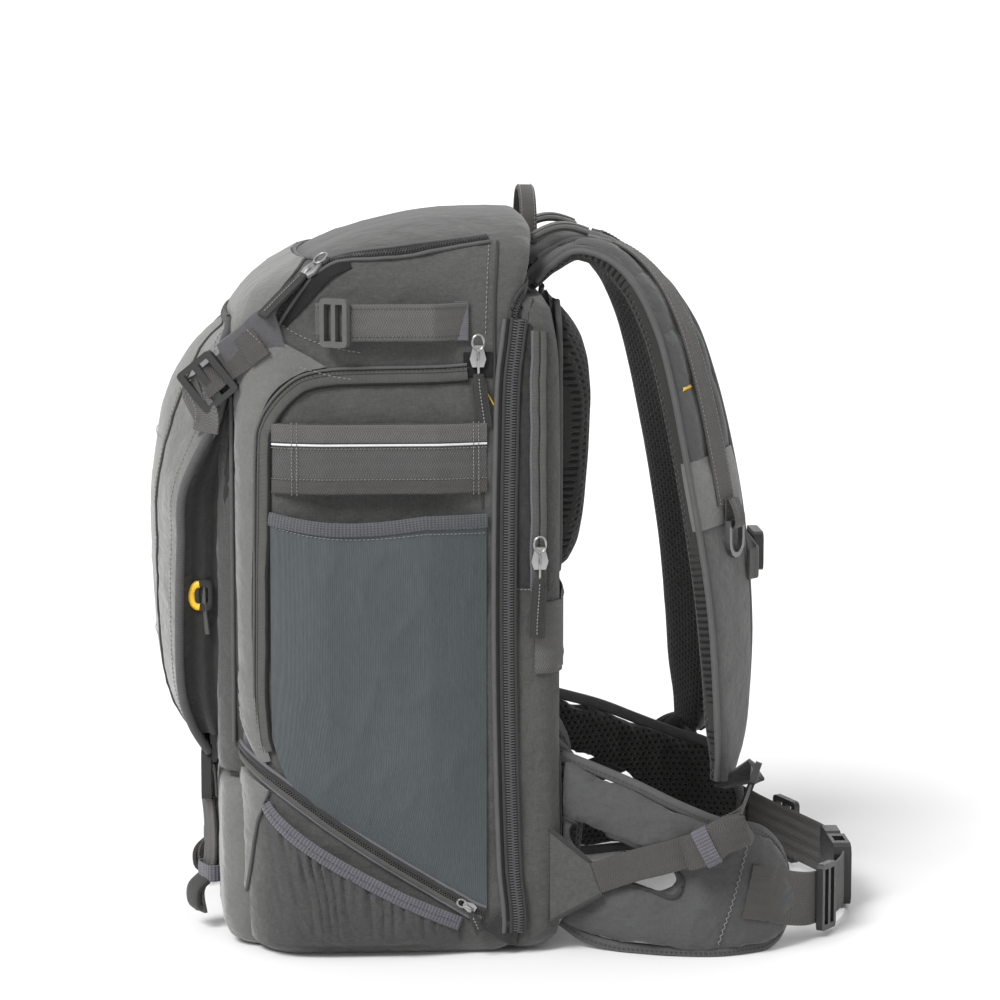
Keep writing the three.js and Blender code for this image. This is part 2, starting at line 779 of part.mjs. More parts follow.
// A pad on the back panel with a grooved middle for air.
function padGeometry(foot, top, depth, width, groove) {
  const rings = smoothRows(backPadRows, 12).map((row) => {
    const z = mix(foot, top, row.up);
    const d = Math.max(row.depth * depth, 1.5);
    const w = (row.half * width) / 2;
    const g = Math.min(groove, d - 1);
    const profile = [
      [-1, 0], [-0.97, 0.6], [-0.84, 0.95], [-0.5, 1], [-0.22, 0.9], [-0.1, 0], [0.1, 0],
      [0.22, 0.9], [0.5, 1], [0.84, 0.95], [0.97, 0.6], [1, 0],
    ];
    const face = profile.map(([s, f], i) => {
      const inGroove = i === 5 || i === 6;
      return V(backDepth + gap + (inGroove ? d - g : Math.max(d * f, 0.8)), s * w, z);
    });
    face.push(V(backDepth + gap, w, z), V(backDepth + gap, -w, z));
    return face;
  });
  return loft(rings);
}

// The strap for a trolley's handle is sewn in at both sides and goes round the panel's corners.
function trolleyStrapGeometry() {
  const { rear, half } = rearPanelRowAt(trolleyHeight);
  const radius = rearPanelCorner + 2 * gap + webbing / 2;
  const points = [];
  for (const degrees of [90, 60, 30, 0]) {
    const angle = THREE.MathUtils.degToRad(degrees);
    points.push(V(
      rear - rearPanelCorner + radius * Math.cos(angle),
      -(half - rearPanelCorner + radius * Math.sin(angle)),
      trolleyHeight,
    ));
  }
  const loose = [0.5, 0.2].map((share) => V(rear + trolleyStrapLift, -share * half, trolleyHeight));
  points.push(...loose);
  points.push(...points.map(({ x, y, z }) => V(x, -y, z)).reverse());
  return webbingBand(framesAlong(points, points.map(() => V(0, 0, 1))), trolleyWidth);
}

function handleGeometry() {
  const points = [];
  for (let k = 0; k <= 14; k++) {
    const s = (2 * k) / 14 - 1;
    const rise = handleRise * Math.sqrt(Math.max(1 - Math.abs(s) ** 2.6, 0));
    points.push(V(rearmost + handleWidth / 2 + gap * 2, (s * handleSpan) / 2, lidEdgeHeight + 2 + rise));
  }
  return webbingBand(framesAlong(points, points.map(() => V(1, 0, 0))), handleWidth, handleThickness);
}

// Shoulder harness

// Shares: out of strapReach past backDepth, up of strapTop, spread of strapSpread, width of strapWidth,
// thick of strapThickness. turn is the band's turn about the vertical in degrees.
const strapRows = [
  { out: -0.116, up: 0.957, spread: 0.6, turn: 0, width: 0.86, thick: 0.7 },
  { out: 0.0, up: 0.982, spread: 0.64, turn: 3, width: 0.88, thick: 0.8 },
  { out: 0.16, up: 1.0, spread: 0.7, turn: 8, width: 0.92, thick: 0.9 },
  { out: 0.36, up: 0.985, spread: 0.77, turn: 14, width: 0.96, thick: 1.0 },
  { out: 0.53, up: 0.946, spread: 0.83, turn: 22, width: 1.0, thick: 1.0 },
  { out: 0.66, up: 0.886, spread: 0.87, turn: 28, width: 1.0, thick: 1.0 },
  { out: 0.755, up: 0.81, spread: 0.89, turn: 31, width: 1.0, thick: 1.0 },
  { out: 0.835, up: 0.722, spread: 0.9, turn: 33, width: 1.0, thick: 1.0 },
  { out: 0.91, up: 0.62, spread: 0.91, turn: 33, width: 1.0, thick: 1.0 },
  { out: 0.965, up: 0.51, spread: 0.93, turn: 31, width: 0.98, thick: 1.0 },
  { out: 0.99, up: 0.4, spread: 0.96, turn: 28, width: 0.95, thick: 0.95 },
  { out: 0.99, up: 0.305, spread: 0.99, turn: 24, width: 0.86, thick: 0.9 },
  { out: 0.955, up: 0.235, spread: 1.02, turn: 18, width: 0.6, thick: 0.75 },
];

// Frames of the right strap.
function strapFrames(count) {
  const rows = smoothRows(strapRows, count);
  const centres = rows.map((row) => V(
    backDepth + row.out * strapReach,
    -row.spread * strapSpread,
    row.up * strapTop,
  ));
  const across = rows.map((row) => {
    const turn = THREE.MathUtils.degToRad(row.turn);
    return V(Math.sin(turn), Math.cos(turn), 0);
  });
  const frames = framesAlong(centres, across);
  frames.forEach((frame, i) => {
    frame.width = rows[i].width * strapWidth;
    frame.thick = rows[i].thick * strapThickness;
    if (frame.normal.x + frame.normal.z < 0) frame.normal.negate();
  });
  return frames;
}

function strapGeometry() {
  const frames = strapFrames(19);
  return loft([...frames, ...strapTabFrames(frames[frames.length - 1])].map((frame) => {
    const w = frame.width / 2;
    const t = frame.thick / 2;
    const e = frame.thick * 0.4;
    const section = [
      [-w, -t * 0.45], [-w, t * 0.45], [-w + e, t], [0, t * 1.04], [w - e, t],
      [w, t * 0.45], [w, -t * 0.45], [w - e, -t], [0, -t * 1.04], [-w + e, -t],
    ];
    return section.map(([s, n]) => (
      frame.centre.clone().addScaledVector(frame.side, s).addScaledVector(frame.normal, n)
    ));
  }));
}

// The strap's lower end narrows to a webbing tab that reaches the top of its lock.
function strapTabFrames(last) {
  const lock = strapLockFrame();
  const head = lock.centre.clone().addScaledVector(lock.along, strapLockLength / 2 + 2 * gap);
  const turn = last.side.dot(lock.side) < 0 ? -1 : 1;
  const lockSide = lock.side.clone().multiplyScalar(turn);
  const points = [
    last.centre.clone().addScaledVector(last.along, 5),
    head.clone().addScaledVector(lock.along, 7),
    head,
  ];
  const flip = last.along.clone().cross(last.side).dot(last.normal) < 0 ? -1 : 1;
  return framesAlong(points, [0.15, 0.85, 1].map((t) => last.side.clone().lerp(lockSide, t))).map((frame) => ({
    ...frame,
    normal: frame.normal.multiplyScalar(flip),
    width: lowerWebbing - 2,
    thick: 2 * webbing,
  }));
}

// Webbing sewn along the strap's outer face.
function strapWebbingGeometry() {
  const frames = strapFrames(28).slice(6, 18);
  const lifted = frames.map((frame) => ({
    ...frame,
    centre: frame.centre.clone().addScaledVector(frame.normal, frame.thick * 0.52 + gap * 2 + webbing / 2),
  }));
  return webbingBand(lifted, lifterWidth);
}

// The frame of the right strap that is nearest to a height on its hanging part.
function strapFrameAt(height) {
  const frames = strapFrames(81).slice(30);
  return frames.reduce((best, frame) => (
    Math.abs(frame.centre.z - height) < Math.abs(best.centre.z - height) ? frame : best
  ));
}

function lifterGeometry() {
  const start = V(rearmost + 8 * gap, -0.67 * strapSpread, lidEdgeHeight + 7);
  const frames = strapFrames(40);
  const landing = frames[7];
  const end = landing.centre.clone().addScaledVector(landing.normal, landing.thick * 0.52 + gap + 2.5);
  const rise = V(0, 0, 6);
  const points = [0, 0.25, 0.5, 0.75, 1].map((t) => (
    start.clone().lerp(end, t).addScaledVector(rise, Math.sin(Math.PI * t))
  ));
  return band(framesAlong(points, points.map(() => V(0, 1, 0))), points.map(() => lifterWidth + 6), 5);
}

// D-ring: a straight bar on top with a bow that hangs from it.
function ringPlace() {
  const frame = strapFrameAt(ringHeight);
  const side = V(frame.side.x, frame.side.y, 0).normalize();
  const out = V(side.y, -side.x, 0);
  const lift = frame.thick * 0.52 + ringWire / 2 + ringClearance + webbing + 1.2;
  const towardsMiddle = frame.width * 0.03;
  const centre = frame.centre.clone().addScaledVector(out, lift).addScaledVector(side, towardsMiddle);
  return { centre, side, out, frame };
}

function ringGeometry() {
  const outer = new THREE.Shape();
  const half = ringWidth / 2;
  const wire = ringWire;
  outer.moveTo(-half, wire / 2);
  outer.lineTo(-half, -ringDrop + half);
  const inner = new THREE.Path();
  const steps = 7;
  for (let k = 1; k <= steps; k++) {
    const a = Math.PI + (Math.PI * k) / steps;
    outer.lineTo(half * Math.cos(a), -ringDrop + half + half * Math.sin(a));
  }
  outer.lineTo(half, wire / 2);
  const r = half - wire;
  inner.moveTo(-r, -wire / 2);
  inner.lineTo(r, -wire / 2);
  for (let k = 0; k <= steps; k++) {
    const a = (-Math.PI * k) / steps;
    inner.lineTo(r * Math.cos(a), -ringDrop + half + r * Math.sin(a));
  }
  outer.holes.push(inner);
  const flat = new THREE.ExtrudeGeometry(outer, { depth: wire, bevelEnabled: false, curveSegments: 1 });
  flat.translate(0, 0, -wire / 2);
  const { centre, side } = ringPlace();
  return onFrame(flat, { centre, side, along: V(0, 0, 1) });
}

// A folded webbing loop round the ring's bar, sewn to the strap above it.
function ringLoopGeometry() {
  const { centre, side, out } = ringPlace();
  const r = (ringWire / 2) * Math.SQRT2 + ringClearance + webbing / 2;
  const steps = 6;
  const at = (away, up) => centre.clone().addScaledVector(out, away).add(V(0, 0, up));
  const points = [at(webbing * 1.35 - r, r * 4.2), at(r * 0.75, r * 1.7)];
  for (let k = 0; k <= steps; k++) {
    const angle = (Math.PI * k) / steps;
    points.push(at(r * Math.cos(angle), -r * Math.sin(angle)));
  }
  points.push(at(-r, r * 2), at(-r, r * 4.2));
  const frames = framesAlong(points, points.map(() => side));
  return webbingBand(frames, ringWidth - 2 * ringWire - 1.5, webbing * 0.8);
}

// Sternum strap across both shoulder straps, with its clip in the middle.
function sternumPath() {
  const frame = strapFrameAt(sternumHeight);
  const on = (share) => frame.centre.clone()
    .addScaledVector(frame.normal, frame.thick * 0.52 + 2 * gap + webbing)
    .addScaledVector(frame.side, frame.width * share)
    .setZ(sternumHeight);
  const [start, edge] = [on(0.3), on(0.52)];
  const middle = V(edge.x + 2, 0, sternumHeight);
  const right = [start, on(0.41), edge, edge.clone().lerp(middle, 0.35), edge.clone().lerp(middle, 0.7)];
  return { points: [...right, middle, ...right.map(({ x, y, z }) => V(x, -y, z)).reverse()], middle };
}

function sternumStrapGeometry() {
  const { points } = sternumPath();
  return webbingBand(framesAlong(points, points.map(() => V(0, 0, 1))), sternumWebbing);
}

function sternumClipGeometry() {
  const { middle } = sternumPath();
  const outline = roundedRectangle(sternumWebbing + 6, sternumClipLength, 5);
  const clip = plate(outline, [], sternumClipThickness);
  return onFrame(clip, {
    centre: middle.clone().add(V(webbing / 2 + 3 * gap + sternumClipThickness / 2, 0, 0)),
    side: V(0, 0, 1),
    along: V(0, 1, 0),
  });
}

// Hip belt

// Shares: out of wingReach past backDepth, spread of wingSpread, top and foot of wingHeight.
const wingRows = [
  { out: 0.0165, spread: 0.79, top: 1.0, foot: 0.13 },
  { out: 0.13, spread: 0.84, top: 0.955, foot: 0.05 },
  { out: 0.32, spread: 0.925, top: 0.875, foot: 0.012 },
  { out: 0.5, spread: 0.985, top: 0.78, foot: 0.006 },
  { out: 0.69, spread: 1.0, top: 0.69, foot: 0.006 },
  { out: 0.85, spread: 0.937, top: 0.64, foot: 0.016 },
  { out: 0.94, spread: 0.873, top: 0.54, foot: 0.05 },
  { out: 0.985, spread: 0.83, top: 0.42, foot: 0.12 },
  { out: 1.0, spread: 0.81, top: 0.34, foot: 0.19 },
];

function wingFrames(count) {
  const rows = smoothRows(wingRows, count);
  const centres = rows.map((row) => V(backDepth + row.out * wingReach, -row.spread * wingSpread, 0));
  return framesAlong(centres, rows.map(() => V(0, 0, 1))).map((frame, i) => ({
    ...frame,
    top: rows[i].top * wingHeight,
    foot: Math.max(rows[i].foot * wingHeight, 0.4),
  }));
}

// Shares of wingReach past backDepth and of wingHeight round the slot that the strap crosses.
const slotOutline = [
  { out: 0.045, up: 0.665 }, { out: 0.27, up: 0.56 }, { out: 0.44, up: 0.475 }, { out: 0.5, up: 0.4 },
  { out: 0.465, up: 0.325 }, { out: 0.36, up: 0.36 }, { out: 0.12, up: 0.485 }, { out: 0.045, up: 0.57 },
];

function wingGeometry() {
  const rings = wingFrames(14).map(({ centre, normal, top, foot }) => {
    const t = wingThickness / 2;
    const e = Math.min(wingThickness * 0.45, (top - foot) * 0.3);
    const section = [
      [foot, 0.45], [foot, -0.45], [foot + e, -1], [mix(foot, top, 0.5), -1.08], [top - e, -1],
      [top, -0.45], [top, 0.45], [top - e, 1], [mix(foot, top, 0.5), 1.08], [foot + e, 1],
    ];
    return section.map(([z, n]) => centre.clone().addScaledVector(normal, n * t).setZ(z));
  });
  const outline = slotOutline.map(({ out, up }) => (
    new THREE.Vector2(backDepth + out * wingReach, up * wingHeight)
  ));
  const slot = plate(outline, [], wingSpread);
  slot.rotateX(Math.PI / 2);
  slot.translate(0, -wingSpread, 0);
  return toGeometry(toSolid(loft(rings)).subtract(toSolid(slot)));
}

// Half of the front webbing, from the wing's outer face to the clip in the middle.
// Shares: out of beltReach past backDepth, spread of wingSpread, up of beltHeight.
const beltRows = [
  { out: 0.6, spread: 1.022, up: 1.84 },
  { out: 0.68, spread: 0.965, up: 1.66 },
  { out: 0.75, spread: 0.885, up: 1.42 },
  { out: 0.825, spread: 0.765, up: 1.2 },
  { out: 0.885, spread: 0.63, up: 1.1 },
  { out: 0.95, spread: 0.45, up: 1.02 },
  { out: 0.99, spread: 0.3, up: 1.0 },
  { out: 1.0, spread: 0.2, up: 1.0 },
];

function beltFrames(count) {
  const centres = smoothRows(beltRows, count).map((row) => V(
    backDepth + row.out * beltReach,
    -row.spread * wingSpread,
    row.up * beltHeight,
  ));
  return framesAlong(centres, centres.map(() => V(0, 0, 1)));
}

function beltWebbingGeometry() {
  const clipEnd = -buckleLength / 2 - 2 * gap;
  const frames = beltFrames(13).filter(({ centre }) => centre.y < clipEnd - beltWebbing / 10);
  const last = frames[frames.length - 1];
  const end = { ...last, centre: V(bucklePlace().x, clipEnd, bucklePlace().z) };
  return webbingBand([...frames, end], beltWebbing, webbing * 1.2);
}

function beltLockGeometry() {
  const frames = beltFrames(60);
  const frame = frames.reduce((best, one) => (
    Math.abs(one.centre.y + beltLockPlace) < Math.abs(best.centre.y + beltLockPlace) ? one : best
  ));
  const out = frame.normal.clone();
  if (out.y > 0) out.negate();
  const lock = ladderLock(beltWebbing + 10, 28, 5);
  return onFrame(lock, {
    centre: frame.centre.clone().addScaledVector(out, webbing * 0.6 + gap + 2.8),
    side: V(0, 0, 1),
    along: frame.along,
  });
}

function bucklePlace() {
  return V(backDepth + beltReach, 0, beltHeight);
}

// The clip's socket: a flat sleeve with side windows for the two prongs.
function buckleSocketGeometry() {
  const length = buckleLength * 0.58;
  const body = toSolid(plate(roundedRectangle(buckleHeight, length, 7), [], buckleThickness));
  const hollow = toSolid(plate(rectangle(buckleHeight - 7, length, 0, 6), [], buckleThickness - 5));
  const windows = toSolid(plate(rectangle(buckleHeight * 2, length * 0.34, 0, 0), [], buckleThickness - 5));
  const geometry = toGeometry(body.subtract(hollow).subtract(windows));
  const middle = bucklePlace();
  return onFrame(geometry, {
    centre: middle.add(V(0, -buckleLength / 2 + length / 2, 0)),
    side: V(0, 0, 1),
    along: V(0, 1, 0),
  });
}

// The clip's plug: a bar for the webbing with two prongs that sit inside the socket.
function bucklePlugGeometry() {
  const length = buckleLength * 0.42 - gap;
  const thickness = buckleThickness - 6;
  const head = plate(roundedRectangle(buckleHeight - 2, length, 6), [], buckleThickness - 2);
  let plug = toSolid(head);
  for (const side of [-1, 0, 1]) {
    const prong = plate(
      roundedRectangle(side === 0 ? 6 : 8, buckleLength * 0.3, 2.5),
      [],
      thickness,
    ).translate(side * (buckleHeight / 2 - 8.5), -length / 2 - buckleLength * 0.11, 0);
    plug = plug.add(toSolid(prong));
  }
  const middle = bucklePlace();
  return onFrame(toGeometry(plug), {
    centre: middle.add(V(0, buckleLength / 2 - length / 2, 0)),
    side: V(0, 0, 1),
    along: V(0, 1, 0),
  });
}

// Lower strap webbing, from the tab on the bag's rear edge to the end of the shoulder strap.
// Shares: out of strapReach past backDepth, spread of wingSpread, up of wingHeight.
const lowerWebbingRows = [
  { out: 0.2, spread: 0.962, up: 0.4 },
  { out: 0.41, spread: 0.992, up: 0.47 },
  { out: 0.64, spread: 1.052, up: 0.54 },
  { out: 0.83, spread: 1.08, up: 0.61 },
  { out: 0.98, spread: 1.075, up: 0.72 },
  { out: 1.06, spread: 0.93, up: 0.81 },
];

function lowerWebbingFrames(count) {
  const centres = smoothRows(lowerWebbingRows, count).map((row) => V(
    backDepth + row.out * strapReach,
    -row.spread * wingSpread,
    row.up * wingHeight,
  ));
  return framesAlong(centres, centres.map(() => V(0.35, 0, 1)));
}

function lowerWebbingGeometry() {
  return webbingBand(lowerWebbingFrames(14), lowerWebbing);
}

function strapLockFrame() {
  const frames = lowerWebbingFrames(30);
  const { centre, side, along } = frames[frames.length - 1];
  return { centre: centre.clone().addScaledVector(along, strapLockLength / 2 + 2 * gap), side, along };
}

function strapLockGeometry() {
  return onFrame(ladderLock(lowerWebbing + 8, strapLockLength, 4.5), strapLockFrame());
}

// The spare webbing, folded up and held by an elastic keeper on the lower webbing.
function bundleGeometry() {
  const frames = lowerWebbingFrames(20).slice(9, 16);
  const out = (frame) => (frame.normal.y > 0 ? frame.normal.clone().negate() : frame.normal);
  const lifted = frames.map((frame) => ({
    ...frame,
    centre: frame.centre.clone().addScaledVector(out(frame), webbing / 2 + bundleStandOff),
  }));
  const folded = toSolid(band(lifted, lifted.map(() => lowerWebbing + 2), 9, 0.5));
  const held = lifted.slice(1, 4);
  const keeper = toSolid(band(held, held.map(() => lowerWebbing + 5), 10, 0.5));
  return toGeometry(folded.add(keeper));
}

// A doubled cloth triangle that is sewn into the rear edge and takes the lower webbing.
function anchorTabGeometry() {
  const frame = lowerWebbingFrames(14)[0];
  const tip = frame.centre.clone().addScaledVector(frame.along, -2 * gap).add(V(0, anchorTabThickness / 2, 0));
  const inset = rearPanelCorner - anchorTabRoot;
  const drop = rearPanelCorner - Math.sqrt(rearPanelCorner ** 2 - inset ** 2);
  const root = V(backDepth - anchorTabRoot, drop - rearPanelRowAt(tip.z).half - 2 * gap, tip.z);
  const rise = V(0, 0, anchorTabHeight / 2);
  const halfTip = lowerWebbing / 2 + 2;
  const outline = [
    root.clone().sub(rise), root.clone().add(rise),
    tip.clone().addScaledVector(frame.side, halfTip), tip.clone().addScaledVector(frame.side, -halfTip),
  ];
  const rings = [0, -anchorTabThickness].map((depth) => outline.map((p) => p.clone().add(V(0, depth, 0))));
  return loft(rings);
}

// Compression strap from the body's side to the flap's edge.
// Shares: front of frontDepth, side of half bagWidth where it is sewn on and flapSide of half flapWidth
// at the flap, up of bagHeight, width of its own widest end.
const compressionRows = [
  { front: 0.7, side: 0.962, flapSide: 0, up: 0.832, width: 1.0 },
  { front: 0.82, side: 0.945, flapSide: 0, up: 0.824, width: 0.88 },
  { front: 0.95, side: 0, flapSide: 1.08293, up: 0.813, width: 0.66 },
  { front: 1.06, side: 0, flapSide: 1.0348, up: 0.8, width: 0.58 },
];

function compressionFrames() {
  const rows = smoothRows(compressionRows, 8);
  const frames = framesAlong(rows.map((row) => (
    V(-row.front * frontDepth, -(row.side * bagWidth + row.flapSide * flapWidth) / 2, row.up * bagHeight)
  )), rows.map(() => V(-0.45, 0, 1)));
  return { frames, widths: rows.map((row) => row.width * compressionWidth) };
}

function compressionStrapGeometry() {
  const { frames, widths } = compressionFrames();
  return toGeometry(toSolid(band(frames, widths, 4, 0.4)).subtract(bodyClear));
}

function compressionLockFrame() {
  const { frames } = compressionFrames();
  const frame = frames[frames.length - 1];
  const along = V(-0.74, 0.2, -0.62).normalize();
  const side = frame.side.clone().addScaledVector(along, -frame.side.dot(along)).normalize();
  const out = side.clone().cross(along).normalize();
  if (out.y > 0) out.negate();
  const centre = frame.centre.clone()
    .addScaledVector(along, compressionLockLength / 2 + 10 * gap)
    .addScaledVector(out, compressionLockLift);
  return { centre, side, along, out };
}

function compressionLockGeometry() {
  return onFrame(ladderLock(compressionLockWidth, compressionLockLength, 6), compressionLockFrame());
}

// Lower front straps that hold the flap down, with a clip above a hanging tail.
// Shares: out of pocketDepth past frontDepth, up of basePocketHeight.
const frontStrapRows = [
  { out: 1.18, up: 0.8 },
  { out: 1.1, up: 0.66 },
  { out: 1.08, up: 0.5 },
  { out: 1.2, up: 0.36 },
  { out: 1.6, up: 0.24 },
  { out: 1.5, up: 0.1 },
];

function frontStrapGeometry() {
  const centres = smoothRows(frontStrapRows, 10).map((row) => V(
    -frontDepth - frontBow - row.out * pocketDepth,
    -frontStrapSpread,
    row.up * basePocketHeight,
  ));
  return webbingBand(framesAlong(centres, centres.map(() => V(0, 1, 0))), frontStrapWidth, webbing * 1.4);
}

function frontClipGeometry() {
  const foot = V(
    -frontDepth - frontBow - frontStrapRows[0].out * pocketDepth,
    -frontStrapSpread,
    frontStrapRows[0].up * basePocketHeight,
  );
  const flapFoot = flapRows[0];
  const head = V(-frontDepth - flapFoot.out * flapStandOff + 3, -frontStrapSpread, flapFoot.up * flapTop);
  const length = head.z - foot.z - 4 * gap;
  const clip = plate(
    roundedRectangle(frontStrapWidth + 8, length, 5),
    [
      rectangle(frontStrapWidth - 2, length * 0.16, 0, -length * 0.3),
      rectangle(frontStrapWidth - 4, length * 0.24, 0, length * 0.18),
    ],
    7,
  );
  return onFrame(clip, {
    centre: V((foot.x + head.x) / 2, -frontStrapSpread, (foot.z + head.z) / 2),
    side: V(0, 1, 0),
    along: V(0, 0, 1),
  });
}

addPart("bag_shell", shellGeometry(), looks.charcoal);
addPart("top_lid", lidGeometry(), looks.charcoal);
addPart("rear_panel", rearPanelGeometry(), looks.charcoal);
addPart("front_pocket", frontPocketGeometry(), looks.charcoal);
addPart("base_pocket", basePocketGeometry(), looks.paleGrey);
addPart("front_flap", flapGeometry(), looks.paleGrey);
addPair("side_pocket", sidePocketGeometry(), looks.stretch);
addPair("lower_pocket", lowerPocketGeometry(), looks.charcoal);
addPair("label_band", labelBandGeometry(), looks.webbing);
addPair("tripod_strap", tripodStrapGeometry(), looks.webbing);
addPair("tripod_lock", tripodLockGeometry(), looks.plastic);
addPair("main_zip", mainZipGeometry(), looks.zip);
addPart("laptop_zip", laptopZipGeometry(), looks.zip);
addPart("back_pad", padGeometry(backPadFoot, backPadTop, backPadDepth, backPadWidth, backGroove), looks.mesh);
addPart("lumbar_pad", padGeometry(lumbarFoot, lumbarTop, lumbarDepth, lumbarWidth, backGroove), looks.mesh);
addPart("trolley_strap", trolleyStrapGeometry(), looks.webbing);
addPart("top_handle", handleGeometry(), looks.webbing);
addPair("shoulder_strap", strapGeometry(), looks.charcoal);
addPair("strap_webbing", strapWebbingGeometry(), looks.webbing);
addPair("load_lifter", lifterGeometry(), looks.webbing);
addPair("ring_loop", ringLoopGeometry(), looks.webbing);
addPair("d_ring", ringGeometry(), looks.metal);
addPart("sternum_strap", sternumStrapGeometry(), looks.webbing);
addPart("sternum_clip", sternumClipGeometry(), looks.plastic);
addPair("hip_wing", wingGeometry(), looks.charcoal);
addPair("belt_webbing", beltWebbingGeometry(), looks.webbing);
addPair("belt_lock", beltLockGeometry(), looks.plastic);
addPart("belt_clip_socket", buckleSocketGeometry(), looks.plastic);
addPart("belt_clip_plug", bucklePlugGeometry(), looks.plastic);
addPair("lower_webbing", lowerWebbingGeometry(), looks.webbing);
addPair("strap_lock", strapLockGeometry(), looks.plastic);
addPair("webbing_bundle", bundleGeometry(), looks.lilac);
addPair("anchor_tab", anchorTabGeometry(), looks.charcoal);
addPair("compression_strap", compressionStrapGeometry(), looks.webbing);
addPair("compression_lock", compressionLockGeometry(), looks.plastic);
addPair("front_strap", frontStrapGeometry(), looks.webbing);
addPair("front_clip", frontClipGeometry(), looks.plastic);

const backpack = new THREE.Group();
backpack.add(...parts);

export default backpack;
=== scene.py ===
"""A camera backpack: padded body, stash flap, stretch pockets, curved straps and hip belt."""
from math import copysign, cos, exp, pi, radians, sin, sqrt, tan

import bmesh
import bpy
from bpy.props import FloatProperty, FloatVectorProperty, PointerProperty
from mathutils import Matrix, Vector, noise
from mathutils.bvhtree import BVHTree


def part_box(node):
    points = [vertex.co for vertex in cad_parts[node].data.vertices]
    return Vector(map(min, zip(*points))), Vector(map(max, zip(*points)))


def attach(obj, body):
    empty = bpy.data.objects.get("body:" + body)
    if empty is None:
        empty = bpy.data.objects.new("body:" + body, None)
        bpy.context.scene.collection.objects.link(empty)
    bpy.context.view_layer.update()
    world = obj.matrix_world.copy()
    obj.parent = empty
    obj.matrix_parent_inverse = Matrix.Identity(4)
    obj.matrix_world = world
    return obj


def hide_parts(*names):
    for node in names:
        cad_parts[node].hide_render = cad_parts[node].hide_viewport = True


bl_info = {
    "name": "Camera backpack",
    "version": (1, 0, 0),
    "blender": (4, 5, 0),
    "location": "View3D > Sidebar > Backpack",
    "description": "Builds a camera backpack in cloth, webbing, mesh and moulded plastic",
    "category": "Add Mesh",
}

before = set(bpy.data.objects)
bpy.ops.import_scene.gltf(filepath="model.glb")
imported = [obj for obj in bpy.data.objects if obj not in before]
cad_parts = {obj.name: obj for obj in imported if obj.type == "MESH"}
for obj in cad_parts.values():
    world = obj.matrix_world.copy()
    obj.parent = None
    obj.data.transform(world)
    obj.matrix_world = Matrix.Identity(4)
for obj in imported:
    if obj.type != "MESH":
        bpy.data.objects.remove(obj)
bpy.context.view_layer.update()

MM = 0.001
TAU = 2 * pi

# Main sizes in millimetres
BAG_HEIGHT = 511
BAG_WIDTH = 296
FRONT_DEPTH = 105
SEAM_DEPTH = 81
BACK_DEPTH = 114
FRONT_CORNER = 36
FRONT_BOW = 5
LID_EDGE = 484
LID_SLOPE = tan(radians(7))
GAP = 0.3
POCKET_DEPTH = 18
REAR_PANEL_HEIGHT = 454
REAR_PANEL_CORNER = 18

# up, front of FRONT_DEPTH, rear of SEAM_DEPTH, half of half BAG_WIDTH, corner of FRONT_CORNER
BODY_ROWS = [
    (0.0, 0.867, 0.9, 0.932, 0.8), (0.01, 0.933, 1.0, 0.973, 0.9), (0.03, 0.967, 1.035, 0.997, 1.0),
    (0.12, 0.975, 1.0, 1.0, 1.0), (0.36, 0.99, 0.958, 1.0, 1.0), (0.6, 1.0, 0.957, 1.0, 1.0),
    (0.69, 1.0, 0.968, 0.993, 1.0), (0.785, 1.02, 0.988, 0.973, 1.05), (0.83, 1.045, 1.025, 0.95, 1.1),
    (0.869, 1.01, 1.06, 0.925, 1.15), (0.904, 0.86, 1.117, 0.9, 1.2), (0.928, 0.67, 1.148, 0.875, 1.25),
    (0.948, 0.49, 1.167, 0.84, 1.25), (0.968, 0.27, 1.18, 0.75, 1.3), (0.986, -0.05, 1.155, 0.57, 1.2),
    (0.997, -0.35, 1.07, 0.34, 0.8), (1.0, -0.5, 0.957, 0.14, 0.35),
]
# up, rear of BACK_DEPTH, half of half BAG_WIDTH
REAR_ROWS = [
    (0.008, 0.93, 0.94), (0.022, 0.985, 0.975), (0.06, 1.0, 0.985), (0.3, 1.0, 0.99), (0.6, 1.0, 0.99),
    (0.8, 1.0, 0.98), (0.93, 0.985, 0.945), (0.98, 0.95, 0.91), (1.0, 0.9, 0.87),
]


def vec(x, y, z):
    return Vector((x, y, z))


TO_SIDE, TO_REAR, TO_FRONT, UP = vec(0, 1, 0), vec(1, 0, 0), vec(-1, 0, 0), vec(0, 0, 1)


# Tables and paths

def mix(a, b, t):
    return a + (b - a) * t


def clamp(value, low=0.0, high=1.0):
    return min(max(value, low), high)


def hump(t):
    """0 at 0 and 1, and 1 halfway."""
    return sin(pi * t)


def power(value, exponent):
    """A power that keeps the value's sign."""
    return copysign(abs(value) ** exponent, value)


def column_at(rows, place):
    """Smooth values of a table's columns at a place in its first column."""
    k = 0
    while k < len(rows) - 2 and rows[k + 1][0] < place:
        k += 1
    a, b = rows[k], rows[k + 1]
    span = b[0] - a[0]
    t = clamp((place - a[0]) / span)
    values = []
    for i in range(1, len(a)):
        slope = (b[i] - a[i]) / span
        start = end = slope
        if k > 0:
            start = 0.5 * (slope + (a[i] - rows[k - 1][i]) / (a[0] - rows[k - 1][0]))
        if k + 2 < len(rows):
            end = 0.5 * (slope + (rows[k + 2][i] - b[i]) / (rows[k + 2][0] - b[0]))
        cubic = (2 * t ** 3 - 3 * t ** 2 + 1) * a[i] + (3 * t ** 2 - 2 * t ** 3) * b[i]
        values.append(cubic + span * ((t ** 3 - 2 * t ** 2 + t) * start + (t ** 3 - t ** 2) * end))
    return values


